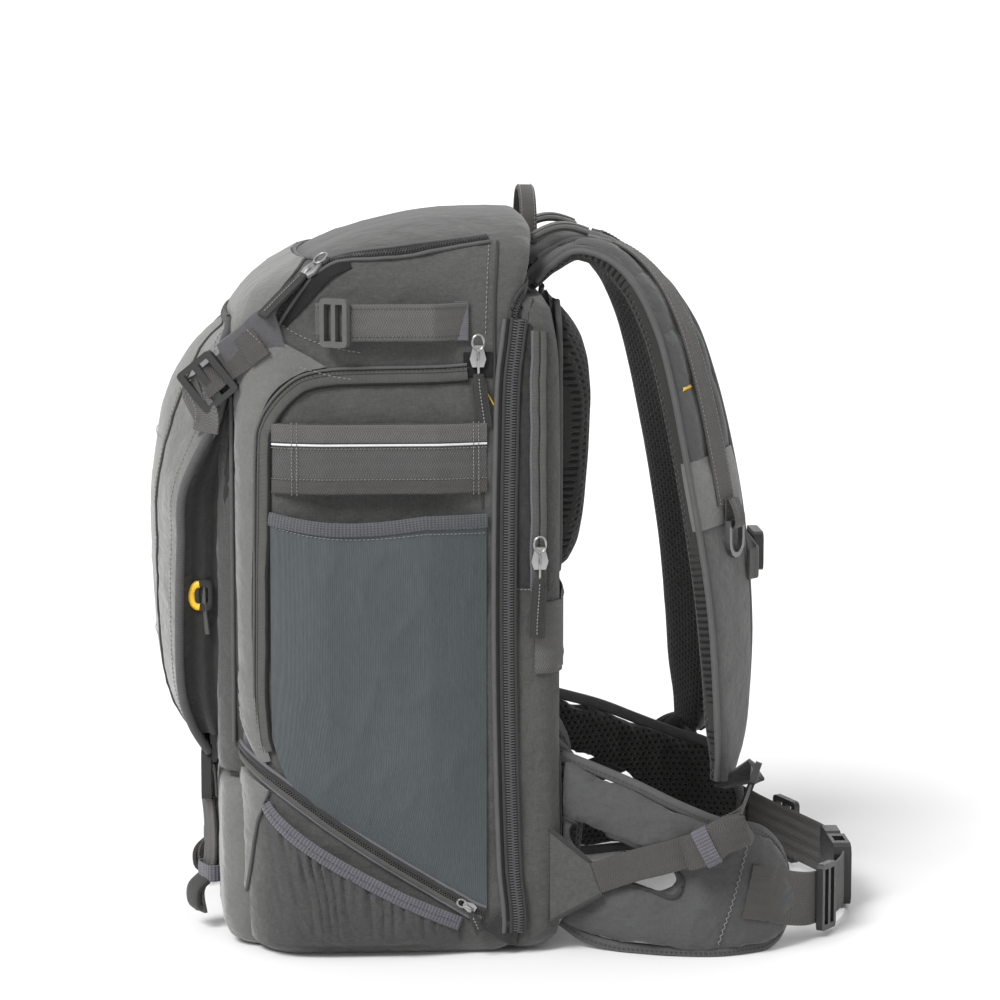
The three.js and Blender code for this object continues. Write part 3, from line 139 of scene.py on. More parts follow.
def smooth_rows(rows, count):
    """Catmull-Rom resampling of a table, even in its row number."""
    out = []
    for i in range(count):
        t = i / (count - 1) * (len(rows) - 1)
        k = min(int(t), len(rows) - 2)
        f = t - k
        row = []
        for c in range(len(rows[0])):
            p1, p2 = rows[k][c], rows[k + 1][c]
            p0 = rows[k - 1][c] if k > 0 else 2 * p1 - p2
            p3 = rows[k + 2][c] if k + 2 < len(rows) else 2 * p2 - p1
            bend = 2 * p0 - 5 * p1 + 4 * p2 - p3
            twist = 3 * p1 - p0 - 3 * p2 + p3
            row.append(p1 + 0.5 * f * (p2 - p0 + f * (bend + f * twist)))
        out.append(row)
    return out


def smooth_path(points, step=2.0):
    """A smooth path through points, with even steps in millimetres."""
    rows = [tuple(p) for p in points]
    fine = [Vector(r) for r in (smooth_rows(rows, 24 * len(rows)) if len(rows) > 2 else rows)]
    lengths = [0.0]
    for a, b in zip(fine, fine[1:]):
        lengths.append(lengths[-1] + (b - a).length)
    count = max(int(lengths[-1] / step), 2)
    out, k = [], 0
    for i in range(count + 1):
        want = lengths[-1] * i / count
        while k < len(fine) - 2 and lengths[k + 1] < want:
            k += 1
        part = lengths[k + 1] - lengths[k]
        out.append(fine[k].lerp(fine[k + 1], (want - lengths[k]) / part if part else 0))
    return out


def evenly(points, count):
    """The same line with count even steps."""
    path = smooth_path(points, 0.5)
    return [path[round(i * (len(path) - 1) / count)] for i in range(count + 1)]


class Frame:
    """A place on a path with its directions."""

    def __init__(self, centre, along, side, normal):
        self.centre, self.along, self.side, self.normal = centre, along, side, normal
        self.width = self.thick = 1.0

    def at(self, side, normal):
        return self.centre + self.side * side + self.normal * normal


def each(directions, points):
    """A direction for each point; they may all share one."""
    return [directions] * len(points) if isinstance(directions, Vector) else directions


def frames_along(centres, across):
    frames, across = [], each(across, centres)
    for i, centre in enumerate(centres):
        before = centres[max(i - 1, 0)]
        after = centres[min(i + 1, len(centres) - 1)]
        along = (after - before).normalized()
        side = (across[i] - along * across[i].dot(along)).normalized()
        frames.append(Frame(centre, along, side, along.cross(side).normalized()))
    return frames


# Body surface

def body_at(z):
    front, rear, half, corner = column_at(BODY_ROWS, clamp(z / BAG_HEIGHT))
    half *= BAG_WIDTH / 2
    front *= -FRONT_DEPTH
    rear *= SEAM_DEPTH
    return front, rear, half, min(corner * FRONT_CORNER, half * 0.9, (rear - front) * 0.45)


def side_at(x, z):
    """Half width of the body at a place on its side."""
    front, _, half, corner = body_at(z)
    inset = min(max(front + corner - x, 0), corner * 0.98)
    return half - corner + sqrt(corner ** 2 - inset ** 2)


def front_of(section, y):
    front, _, half, corner = section
    edge = half - corner
    if abs(y) <= edge:
        return front - FRONT_BOW * (1 - (abs(y) / edge) ** 2)
    inset = min(abs(y) - edge, corner * 0.98)
    return front + corner - sqrt(corner ** 2 - inset ** 2)


def rear_panel_at(z):
    rear, half = column_at(REAR_ROWS, clamp(z / REAR_PANEL_HEIGHT))
    return rear * BACK_DEPTH, half * BAG_WIDTH / 2


def ring(section, back_corner, bow, z):
    """One level of a rounded rectangular form."""
    front, rear, half, corner = section
    back = min(back_corner, half * 0.9)
    points = []

    def turn(cx, cy, radius, start):
        for k in range(8):
            angle = radians(start + 90 * k / 8)
            points.append(vec(cx + radius * cos(angle), cy + radius * sin(angle), z))

    def run(a, b, count, bulge=0.0):
        for k in range(count):
            t = k / count
            out = bulge * (1 - (2 * t - 1) ** 2)
            points.append(vec(mix(a[0], b[0], t) - out, mix(a[1], b[1], t), z))

    turn(rear - back, -half + back, back, -90)
    run((rear, -half + back), (rear, half - back), 30)
    turn(rear - back, half - back, back, 0)
    run((rear - back, half), (front + corner, half), 34)
    turn(front + corner, half - corner, corner, 90)
    run((front, half - corner), (front, -half + corner), 30, bow)
    turn(front + corner, -half + corner, corner, 180)
    run((front + corner, -half), (rear - back, -half), 34)
    return points


# Meshes

class Shape:
    """Points in millimetres, faces, and for tapes each point's place along and across in millimetres."""

    def __init__(self, points, faces, marks=None):
        self.points, self.faces = points, faces
        self.marks = marks or [(0.0, 0.0)] * len(points)


def mesh_of(shape):
    mesh = bmesh.new()
    verts = [mesh.verts.new(p) for p in shape.points]
    for face in shape.faces:
        mesh.faces.new([verts[i] for i in face])
    return mesh


def shape_of(mesh):
    """The shape of a working mesh, which is freed."""
    mesh.verts.index_update()
    shape = Shape([v.co.copy() for v in mesh.verts], [tuple(v.index for v in f.verts) for f in mesh.faces])
    mesh.free()
    return shape


def loft(rings):
    """A closed form through rings of equal counts."""
    count = len(rings[0])
    points = [p for one in rings for p in one]
    faces = []
    for r in range(len(rings) - 1):
        for i in range(count):
            a, b = r * count + i, r * count + (i + 1) % count
            faces.append((a, b, b + count, a + count))
    for start, flip in ((0, True), ((len(rings) - 1) * count, False)):
        loop = list(range(start, start + count))
        hub = len(points)
        points.append(sum((points[i] for i in loop), Vector()) / count)
        for i in range(count):
            a, b = loop[i], loop[(i + 1) % count]
            faces.append((hub, b, a) if flip else (hub, a, b))
    return Shape(points, faces)


def sheet_mesh(at, columns, rows, wall):
    """A thin closed sheet; at(u, v) gives its outer face and the wall goes inward."""
    outer = [[at(u / columns, v / rows) for u in range(columns + 1)] for v in range(rows + 1)]
    points = []
    for depth in (0, wall):
        for v in range(rows + 1):
            for u in range(columns + 1):
                du = outer[v][min(u + 1, columns)] - outer[v][max(u - 1, 0)]
                dv = outer[min(v + 1, rows)][u] - outer[max(v - 1, 0)][u]
                points.append(outer[v][u] - du.cross(dv).normalized() * depth)
    n = columns + 1
    back = n * (rows + 1)
    faces = []
    for v in range(rows):
        for u in range(columns):
            a = v * n + u
            faces.append((a, a + 1, a + n + 1, a + n))
            faces.append((back + a, back + a + n, back + a + n + 1, back + a + 1))
    rim = list(range(columns)) + [v * n + columns for v in range(rows)]
    rim += [rows * n + u for u in range(columns, 0, -1)] + [v * n for v in range(rows, 0, -1)]
    for i, a in enumerate(rim):
        b = rim[(i + 1) % len(rim)]
        faces.append((a, back + a, back + b, b))
    return Shape(points, faces)


def round_section(width, thick, sharp, count):
    """A closed cross-section between an ellipse and a rectangle."""
    turns = [TAU * k / count for k in range(count)]
    return [(power(cos(a), 2 / sharp) * width / 2, power(sin(a), 2 / sharp) * thick / 2) for a in turns]


def tube(points, radius, sides=8):
    """A round cord along a path."""
    turns = [TAU * k / sides for k in range(sides)]
    frames = frames_along(points, vec(0.3, 0.2, 1.0))
    return loft([[f.at(cos(a) * radius, sin(a) * radius) for a in turns] for f in frames])


def tape_shape(points, across, width, thick, sharp, count, upright):
    """A tape along a path; across is where its face looks, or where its width runs if it is upright."""
    rings, marks, run = [], [], 0.0
    for i, one in enumerate(frames_along(points, across)):
        run += (points[i] - points[i - 1]).length if i else 0.0
        wide = width[i] if hasattr(width, "__len__") else width
        section = round_section(wide, thick, sharp, count)
        rings.append([one.at(s, n) if upright else one.at(n, s) for s, n in section])
        marks += [(run, s) for s, _ in section]
    shape = loft(rings)
    shape.marks = marks + [(run if upright else 0.0, 0.0)] * (len(shape.points) - len(marks))
    return shape


def ribbon(points, normals, width, thick, sharp=4.0):
    return tape_shape(points, normals, width, thick, sharp, 12, False)


def strip(points, sides, width, thick, sharp=5.0):
    return tape_shape(points, sides, width, thick, sharp, 14, True)


def join(*shapes):
    points, faces, marks = [], [], []
    for shape in shapes:
        start = len(points)
        points += shape.points
        marks += shape.marks
        faces += [tuple(i + start for i in f) for f in shape.faces]
    return Shape(points, faces, marks)


def stitches(points, normals, pitch=3.6, length=2.4, radius=0.36, zigzag=0.0):
    """A row of thread stitches that lie on a surface; zigzag is the row's half width."""
    parts, normals = [], each(normals, points)
    travelled, due, count = 0.0, 0.0, 0
    for i in range(len(points) - 1):
        step = points[i + 1] - points[i]
        span = step.length
        while span > 0 and due <= travelled + span:
            along = step.normalized()
            out = normals[i].normalized()
            side = along.cross(out).normalized()
            centre = points[i] + step * ((due - travelled) / span)
            if zigzag:
                along = (along * length + side * (zigzag if count % 2 else -zigzag)).normalized()
                side = along.cross(out).normalized()
            half = length / 2
            rings = []
            for a, h, r in (
                (-half, -0.3, 0.5), (-half * 0.6, 0.9, 1), (half * 0.6, 0.9, 1), (half, -0.3, 0.5)
            ):
                rings.append([
                    centre + along * a + out * (radius * (h + r * sin(TAU * k / 5)))
                    + side * (radius * r * cos(TAU * k / 5)) for k in range(5)
                ])
            parts.append(loft(rings))
            due += pitch
            count += 1
        travelled += span
    return join(*parts)


def teeth(points, normals, pitch=1.9, width=5.2, height=1.1):
    """Two interlocking rows of coil teeth along a zip."""
    parts = []
    path = smooth_path(points, pitch / 2)
    for i in range(1, len(path) - 1):
        along = (path[i + 1] - path[i - 1]).normalized()
        out = normals[min(i * len(normals) // len(path), len(normals) - 1)].normalized()
        side = along.cross(out).normalized() * (1 if i % 2 else -1)
        rings = []
        for s, w, h in ((-0.22, 0.5, 0.6), (0.1, 0.95, 1.0), (0.75, 0.8, 0.85), (1.0, 0.35, 0.3)):
            centre = path[i] + side * (s * width / 2)
            reach = pitch * 0.36 * w
            rings.append([
                centre - along * reach, centre - along * (reach * 0.6) + out * (height * h),
                centre + along * (reach * 0.6) + out * (height * h), centre + along * reach,
            ])
        parts.append(loft(rings))
    return join(*parts)


def plate(outline, holes, thick, bevel=0.7):
    """A moulded plate in its own x and y plane, from an outline with holes."""
    mesh = bmesh.new()
    edges = []
    for loop in [outline] + holes:
        verts = [mesh.verts.new((x, y, -thick / 2)) for x, y in loop]
        edges += [mesh.edges.new((verts[i], verts[(i + 1) % len(verts)])) for i in range(len(verts))]
    filled = bmesh.ops.triangle_fill(mesh, use_beauty=True, use_dissolve=False, edges=edges)
    flat = [f for f in filled["geom"] if isinstance(f, bmesh.types.BMFace)]
    raised = bmesh.ops.extrude_face_region(mesh, geom=flat)
    top = [v for v in raised["geom"] if isinstance(v, bmesh.types.BMVert)]
    bmesh.ops.translate(mesh, vec=(0, 0, thick), verts=top)
    bmesh.ops.recalc_face_normals(mesh, faces=mesh.faces)
    sharp = [e for e in mesh.edges if e.is_manifold and e.calc_face_angle(0) > 0.9]
    bmesh.ops.bevel(
        mesh, geom=sharp, offset=bevel, segments=2, affect="EDGES", profile=0.6, clamp_overlap=True
    )
    return shape_of(mesh)


def rounded(width, height, radius):
    """A rectangle with round corners."""
    points = []
    for sx, sy, start in ((1, -1, -90), (1, 1, 0), (-1, 1, 90), (-1, -1, 180)):
        for k in range(5):
            angle = radians(start + 22.5 * k)
            points.append((
                sx * (width / 2 - radius) + radius * cos(angle),
                sy * (height / 2 - radius) + radius * sin(angle),
            ))
    return points


def placed(shape, centre, side, along):
    """Moves a flat shape so that its x and y lie along two directions."""
    side = side.normalized()
    along = (along - side * along.dot(side)).normalized()
    out = side.cross(along)
    points = [centre + side * p[0] + along * p[1] + out * p[2] for p in shape.points]
    return Shape(points, shape.faces, shape.marks)


def mirrored(shape):
    points = [vec(p[0], -p[1], p[2]) for p in shape.points]
    return Shape(points, [tuple(reversed(f)) for f in shape.faces], shape.marks)


def surface(shape):
    return BVHTree.FromPolygons([tuple(p) for p in shape.points], shape.faces)


FAR = 700.0


def project(skin, points, way, lift=0.0):
    """Drops points onto a surface along a direction; returns the points that hit and their normals."""
    hits, normals = [], []
    for p in points:
        place, normal, _, _ = skin.ray_cast(p - way * FAR, way)
        if place is None:
            place, normal, _, _ = skin.find_nearest(p - way * 100)
        if normal.dot(way) > 0:
            normal = -normal
        hits.append(place)
        normals.append(normal)
    smooth = [sum(normals[max(i - 2, 0): i + 3], Vector()).normalized() for i in range(len(normals))]
    return [p + n * lift for p, n in zip(hits, smooth)], smooth


def settle(skin, points, lift, outward=lambda place, normal: normal.x < 0):
    """Moves points to the nearest places on a surface, and lifts them."""
    hits, normals = [], []
    for p in points:
        place, normal, _, _ = skin.find_nearest(p)
        normal = normal if outward(place, normal) else -normal
        hits.append(place + normal * lift)
        normals.append(normal)
    return hits, normals


def side_path(skin, pairs, lift, step=2.0):
    """A path on the right side from its x and z places."""
    return project(skin, smooth_path([(x, 0, z) for x, z in pairs], step), TO_SIDE, lift)


def side_patch(skin, left, right, lift, wall, columns=10, rows=60):
    """A panel on the right side between two edges given as x and z places."""
    a = smooth_path([(x, 0, z) for x, z in left], 1.0)
    b = smooth_path([(x, 0, z) for x, z in right], 1.0)
    cache = {}

    def at(u, v):
        key = (round(u * columns), round(v * rows))
        if key not in cache:
            start = a[round(v * (len(a) - 1))]
            end = b[round(v * (len(b) - 1))]
            hits, normals = project(skin, [start.lerp(end, u)], TO_SIDE)
            crown = min(1.0, 5 * min(u, 1 - u)) * min(1.0, 20 * min(v, 1 - v))
            cache[key] = hits[0] + normals[0] * (lift * mix(0.4, 1.0, sqrt(max(crown, 0))))
        return cache[key]

    return sheet_mesh(at, columns, rows, wall)


def ruffle(shape, amount):
    """Moves each point along its normal by amount(point, normal)."""
    mesh = mesh_of(shape)
    bmesh.ops.recalc_face_normals(mesh, faces=mesh.faces)
    mesh.normal_update()
    points = [v.co + v.normal * amount(v.co, v.normal) for v in mesh.verts]
    mesh.free()
    return Shape(points, shape.faces, shape.marks)


def folds(place, scale, seed=0.0, stretch=(1, 1, 1)):
    """Soft creases from -1 to 1 at a place, as wide as the scale in millimetres."""
    at = Vector([place[i] * stretch[i] / scale for i in range(3)]) + vec(seed, 3.1 * seed, 1.7 * seed)
    broad = noise.noise(at)
    sharp = 1 - 2 * abs(noise.noise(at * 1.7 + vec(5.2, 1.3, 8.1)))
    return 0.6 * broad + 0.4 * sharp ** 3


def sliced(shape, point, normal):
    """The parts of a closed form behind and in front of a plane, left open at the cut."""
    halves = []
    for way in (1, -1):
        mesh = mesh_of(shape)
        geom = list(mesh.verts) + list(mesh.edges) + list(mesh.faces)
        bmesh.ops.bisect_plane(mesh, geom=geom, plane_co=point, plane_no=normal * way, clear_outer=True)
        halves.append(shape_of(mesh))
    return halves


def add_piece(name, shape, keys, nodes=(), slot="webbing", choose=None):
    """Makes an object of the bag from a shape; choose(face centre, normal) picks its material."""
    mesh = bpy.data.meshes.new(name)
    mesh.from_pydata([p * MM for p in shape.points], [], shape.faces)
    own = bmesh.new()
    own.from_mesh(mesh)
    bmesh.ops.recalc_face_normals(own, faces=own.faces)
    own.to_mesh(mesh)
    own.free()
    for column, key in enumerate(("along", "across")):
        values = mesh.attributes.new(key, "FLOAT", "POINT")
        values.data.foreach_set("value", [m[column] * MM for m in shape.marks])
    for key in [keys] if isinstance(keys, str) else keys:
        mesh.materials.append(MATERIALS[key])
    if choose:
        mesh.polygons.foreach_set(
            "material_index", [choose(p.center / MM, p.normal) for p in mesh.polygons],
        )
    mesh.shade_smooth()
    mesh.set_sharp_from_angle(angle=radians(50))
    obj = bpy.data.objects.new(name, mesh)
    bpy.context.scene.collection.objects.link(obj)
    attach(obj, "bag")
    if nodes:
        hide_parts(*nodes)
    return obj


def add_single(name, shape, keys, base=None, slot="webbing"):
    return [add_piece(name, shape, keys, [base] if base else (), slot)]


def add_pair(name, shape, keys, base=None, slot="webbing", choose=None):
    """The same piece on the right side and mirrored on the left."""
    made = []
    for side, one in (("right", shape), ("left", mirrored(shape))):
        nodes = [f"{base}_{side}"] if base else []
        made.append(add_piece(f"{name}_{side}", one, keys, nodes, slot, choose))
    return made


# Shaders

class Value:
    """A value in a shader; arithmetic on it adds Math nodes."""

    def __init__(self, paint, socket):
        self.paint, self.socket = paint, socket

    def math(self, operation, *others):
        return self.paint.node("ShaderNodeMath", {"operation": operation}, self, *others)

    def __add__(self, other):
        return self.math("ADD", other)

    def __sub__(self, other):
        return self.math("SUBTRACT", other)

    def __rsub__(self, other):
        return self.paint.node("ShaderNodeMath", {"operation": "SUBTRACT"}, other, self)

    def __mul__(self, other):
        return self.math("MULTIPLY", other)

    __radd__ = __add__
    __rmul__ = __mul__

    def wave(self, pitch):
        """A sine from -1 to 1 with a pitch in metres."""
        return (self * (TAU / pitch)).math("SINE")

    def ramp(self, low, high):
        """0 below low, 1 above high, smooth between."""
        return self.paint.node(
            "ShaderNodeMapRange", {"interpolation_type": "SMOOTHSTEP"}, Value=self, From_Min=low,
            From_Max=high,
        )


class Paint:
    """One procedural material and the nodes that make it."""

    def __init__(self, name, **constants):
        self.material = bpy.data.materials.new(name)
        self.material.use_nodes = True
        self.tree = self.material.node_tree
        self.shader = self.tree.nodes["Principled BSDF"]
        for key, value in constants.items():
            self.shader.inputs[key.replace("_", " ")].default_value = value

    def node(self, kind, settings, *inputs, out=0, **named):
        made = self.tree.nodes.new(kind)
        for key, value in settings.items():
            setattr(made, key, value)
        for socket, value in list(zip(made.inputs, inputs)) + [
            (made.inputs[key.replace("_", " ")], value) for key, value in named.items()
        ]:
            if isinstance(value, Value):
                self.tree.links.new(value.socket, socket)
            else:
                socket.default_value = value
        return Value(self, made.outputs[out])

    def place(self):
        return self.node("ShaderNodeTexCoord", {}, out=3)

    def axes(self):
        place = self.place()
        return [self.node("ShaderNodeSeparateXYZ", {}, place, out=i) for i in range(3)]

    def mark(self, name):
        return self.node("ShaderNodeAttribute", {"attribute_name": name}, out=2)

    def noise(self, scale, detail=2.0, stretch=(1, 1, 1), roughness=0.5):
        at = self.node("ShaderNodeVectorMath", {"operation": "MULTIPLY"}, self.place(), stretch)
        return self.node(
            "ShaderNodeTexNoise", {}, Vector=at, Scale=scale, Detail=detail, Roughness=roughness,
        )

    def blend(self, factor, a, b):
        made = self.tree.nodes.new("ShaderNodeMix")
        made.data_type = "RGBA"
        for index, value in ((0, factor), (6, a), (7, b)):
            if isinstance(value, Value):
                self.tree.links.new(value.socket, made.inputs[index])
            else:
                made.inputs[index].default_value = value if index == 0 else (*value, 1.0)
        return Value(self, made.outputs[2])

    def shade(self, colour, amount):
        """A colour made lighter or darker by a value around 1."""
        made = self.tree.nodes.new("ShaderNodeVectorMath")
        made.operation = "SCALE"
        if isinstance(colour, Value):
            self.tree.links.new(colour.socket, made.inputs[0])
        else:
            made.inputs[0].default_value = colour
        self.tree.links.new(amount.socket, made.inputs["Scale"])
        return Value(self, made.outputs[0])

    def bump(self, height, distance, strength=1.0, under=None):
        extra = {"Normal": under} if under else {}
        return self.node("ShaderNodeBump", {}, Strength=strength, Distance=distance, Height=height, **extra)

    def finish(self, colour, normal=None, roughness=None, **more):
        for key, value in {"Base Color": colour, "Normal": normal, "Roughness": roughness, **more}.items():
            if value is not None:
                self.tree.links.new(value.socket, self.shader.inputs[key])
        return self.material


def cloth(name, colour, melange=0.3, pitch=0.0011, crease=0.0016, sheen=0.22, roughness=0.85):
    """Woven cloth: mottled threads in two directions, a fine weave and soft creases."""
    paint = Paint(name, Sheen_Weight=sheen, Sheen_Roughness=0.45, Specular_IOR_Level=0.25)
    x, y, z = paint.axes()
    upright = paint.noise(1.0, 2.0, (1100, 1100, 240))
    level = paint.noise(1.0, 2.0, (260, 260, 1200))
    broad = paint.noise(14.0, 3.0)
    worn = paint.noise(45.0, 4.0, roughness=0.65)
    threads_tone = ((upright + level) * 0.5 - 0.5) * (2.4 * melange)
    tone = 1.0 + threads_tone + (broad - 0.5) * 0.16 + (worn - 0.5) * 0.12
    weave = (x + y).wave(pitch) * z.wave(pitch)
    threads = paint.bump(weave * 0.5 + (upright + level) * 0.6, pitch * 0.22, 0.7)
    creases = paint.noise(26.0, 3.0, (1, 1, 1.6), 0.55)
    fine = paint.noise(95.0, 3.0, (1, 1, 1.3), 0.6)
    soft = paint.bump(creases * 0.8 + fine * 0.2, crease * 2.2, 0.8, threads)
    return paint.finish(paint.shade(colour, tone), soft, worn * 0.14 + (roughness - 0.07))


def knit(name, colour):
    """Stretch knit: fine upright ribs over a soft uneven ground."""
    paint = Paint(name, Sheen_Weight=0.3, Sheen_Roughness=0.4, Specular_IOR_Level=0.25)
    x, y, z = paint.axes()
    ribs = (x + y).wave(0.0015)
    loops = z.wave(0.0012)
    streaks = paint.noise(1.0, 2.0, (900, 900, 120))
    broad = paint.noise(11.0, 3.0)
    tone = 1.0 + ribs * 0.07 + ribs * loops * 0.05 + (streaks - 0.5) * 0.45 + (broad - 0.5) * 0.22
    fine = paint.bump(ribs * 0.6 + loops * 0.25 + streaks * 0.6, 0.00022, 0.7)
    soft = paint.bump(paint.noise(17.0, 3.0, (1, 1, 0.6)), 0.004, 0.7, fine)
    return paint.finish(paint.shade(colour, tone), soft, streaks * 0.1 + 0.78)


def webbing(name, colour, pitch=0.0017, chevron=0.0042, contrast=0.16):
    """Ribbed webbing: slanting ribs that turn back along the tape."""
    paint = Paint(name, Sheen_Weight=0.18, Sheen_Roughness=0.35, Specular_IOR_Level=0.35)
    along, across = paint.mark("along"), paint.mark("across")
    slant = along + across.math("ABSOLUTE").math("PINGPONG", chevron) * 0.55
    ribs = slant.wave(pitch)
    lengthwise = across.wave(0.0011)
    dirt = paint.noise(120.0, 4.0, roughness=0.65)
    broad = paint.noise(16.0, 2.0)
    tone = 1.0 + ribs * contrast + lengthwise * 0.05 + (dirt - 0.5) * 0.35 + (broad - 0.5) * 0.2
    fine = paint.bump(ribs * 0.7 + lengthwise * 0.3, 0.0003, 0.8)
    soft = paint.bump(paint.noise(55.0, 2.0), 0.0008, 0.6, fine)
    return paint.finish(paint.shade(colour, tone), soft, dirt * 0.14 + 0.6)


def tape(name, colour, pitch=0.0014):
    """Zip and binding tape with fine cross ribs."""
    paint = Paint(name, Sheen_Weight=0.12, Specular_IOR_Level=0.3)
    ribs = paint.mark("along").wave(pitch)
    dirt = paint.noise(150.0, 3.0, roughness=0.6)
    tone = 1.0 + ribs * 0.18 + (dirt - 0.5) * 0.4
    return paint.finish(paint.shade(colour, tone), paint.bump(ribs, 0.00025, 0.7), dirt * 0.15 + 0.6)


def elastic(name, colour):
    """Gathered elastic with raised ribs across it."""
    paint = Paint(name, Sheen_Weight=0.2, Specular_IOR_Level=0.3)
    ribs = paint.mark("along").wave(0.0024)
    rows = paint.mark("across").wave(0.0016)
    dirt = paint.noise(130.0, 3.0)
    tone = 1.0 + ribs * 0.16 + rows * 0.12 + (dirt - 0.5) * 0.35
    return paint.finish(
        paint.shade(colour, tone), paint.bump(ribs * 0.6 + rows * 0.4, 0.0005, 0.8), dirt * 0.1 + 0.7
    )


def air_mesh(name, colour, hole, pitch=0.0048):
    """Spacer mesh: rounded holes in a six-sided pattern, with the shade inside each hole painted in
    near-black.
    """
    paint = Paint(name, Sheen_Weight=0.15, Specular_IOR_Level=0.3)
    u, v = paint.mark("across"), paint.mark("along")
    reach = 4 * pi / (sqrt(3) * pitch)
    lattice = 0.0
    for turn in (0, 120, 240):
        c, s = cos(radians(turn)), sin(radians(turn))
        lattice = ((u * (c * reach)) + (v * (s * reach))).math("COSINE") + lattice
    open_share = lattice.ramp(-0.2, 1.5)
    fuzz = paint.noise(700.0, 2.0)
    broad = paint.noise(18.0, 2.0)
    ground = paint.shade(colour, 1.0 + (fuzz - 0.5) * 0.7 + (broad - 0.5) * 0.3)
    knobs = paint.bump(1.0 - open_share + (fuzz - 0.5) * 0.2, 0.0016, 1.0)
    # Painted shade: the holes take the near-black hole colour in place of the shade inside them.
    return paint.finish(paint.blend(open_share, ground, hole), knobs, fuzz * 0.1 + 0.8)


def plastic(name, colour, roughness=0.42, grain=0.5):
    """Moulded plastic with a spark-eroded grain and slight scuffs."""
    paint = Paint(name, Specular_IOR_Level=0.5)
    grit = paint.noise(1500.0, 2.0)
    scuff = paint.noise(90.0, 5.0, (1, 1, 2.2), 0.7)
    tone = 1.0 + (scuff - 0.5) * 0.35 + (grit - 0.5) * 0.12
    return paint.finish(
        paint.shade(colour, tone), paint.bump(grit, 0.00012, grain), (scuff - 0.5) * 0.3 + roughness,
    )


def metal(name, colour, roughness=0.32):
    paint = Paint(name, Metallic=1.0)
    brushed = paint.noise(420.0, 3.0, (1, 1, 3.0))
    scuff = paint.noise(60.0, 4.0, roughness=0.7)
    tone = 1.0 + (scuff - 0.5) * 0.3
    return paint.finish(
        paint.shade(colour, tone), paint.bump(brushed, 0.00008, 0.4),
        brushed * 0.1 + (scuff - 0.5) * 0.2 + roughness,
    )


def thread(name, colour):
    paint = Paint(name, Sheen_Weight=0.3, Specular_IOR_Level=0.3)
    twist = paint.noise(1600.0, 2.0, (1, 1, 2))
    return paint.finish(
        paint.shade(colour, twist * 0.7 + 0.65), paint.bump(twist, 0.0001, 0.6), twist * 0.2 + 0.6
    )


def floor_material(colour):
    paint = Paint("floor", Specular_IOR_Level=0.2)
    dust = paint.noise(3.0, 3.0)
    return paint.finish(paint.shade(colour, dust * 0.02 + 0.99), None, dust * 0.1 + 0.6)


def colour_property(name, description, default):
    return FloatVectorProperty(name=name, description=description, default=default, size=3, subtype="COLOR")


class BagSettings(bpy.types.PropertyGroup):
    charcoal: colour_property("Charcoal", "Main cloth", (0.070, 0.070, 0.0685))
    pale: colour_property("Pale grey", "Pale cloth panels", (0.128, 0.128, 0.124))
    stretch: colour_property("Stretch", "Stretch pockets", (0.066, 0.076, 0.080))
    webbing: colour_property("Webbing", "Dark webbing", (0.062, 0.059, 0.056))
    accent: colour_property("Accent", "Yellow stitching", (0.88, 0.53, 0.02))


MATERIALS = {}


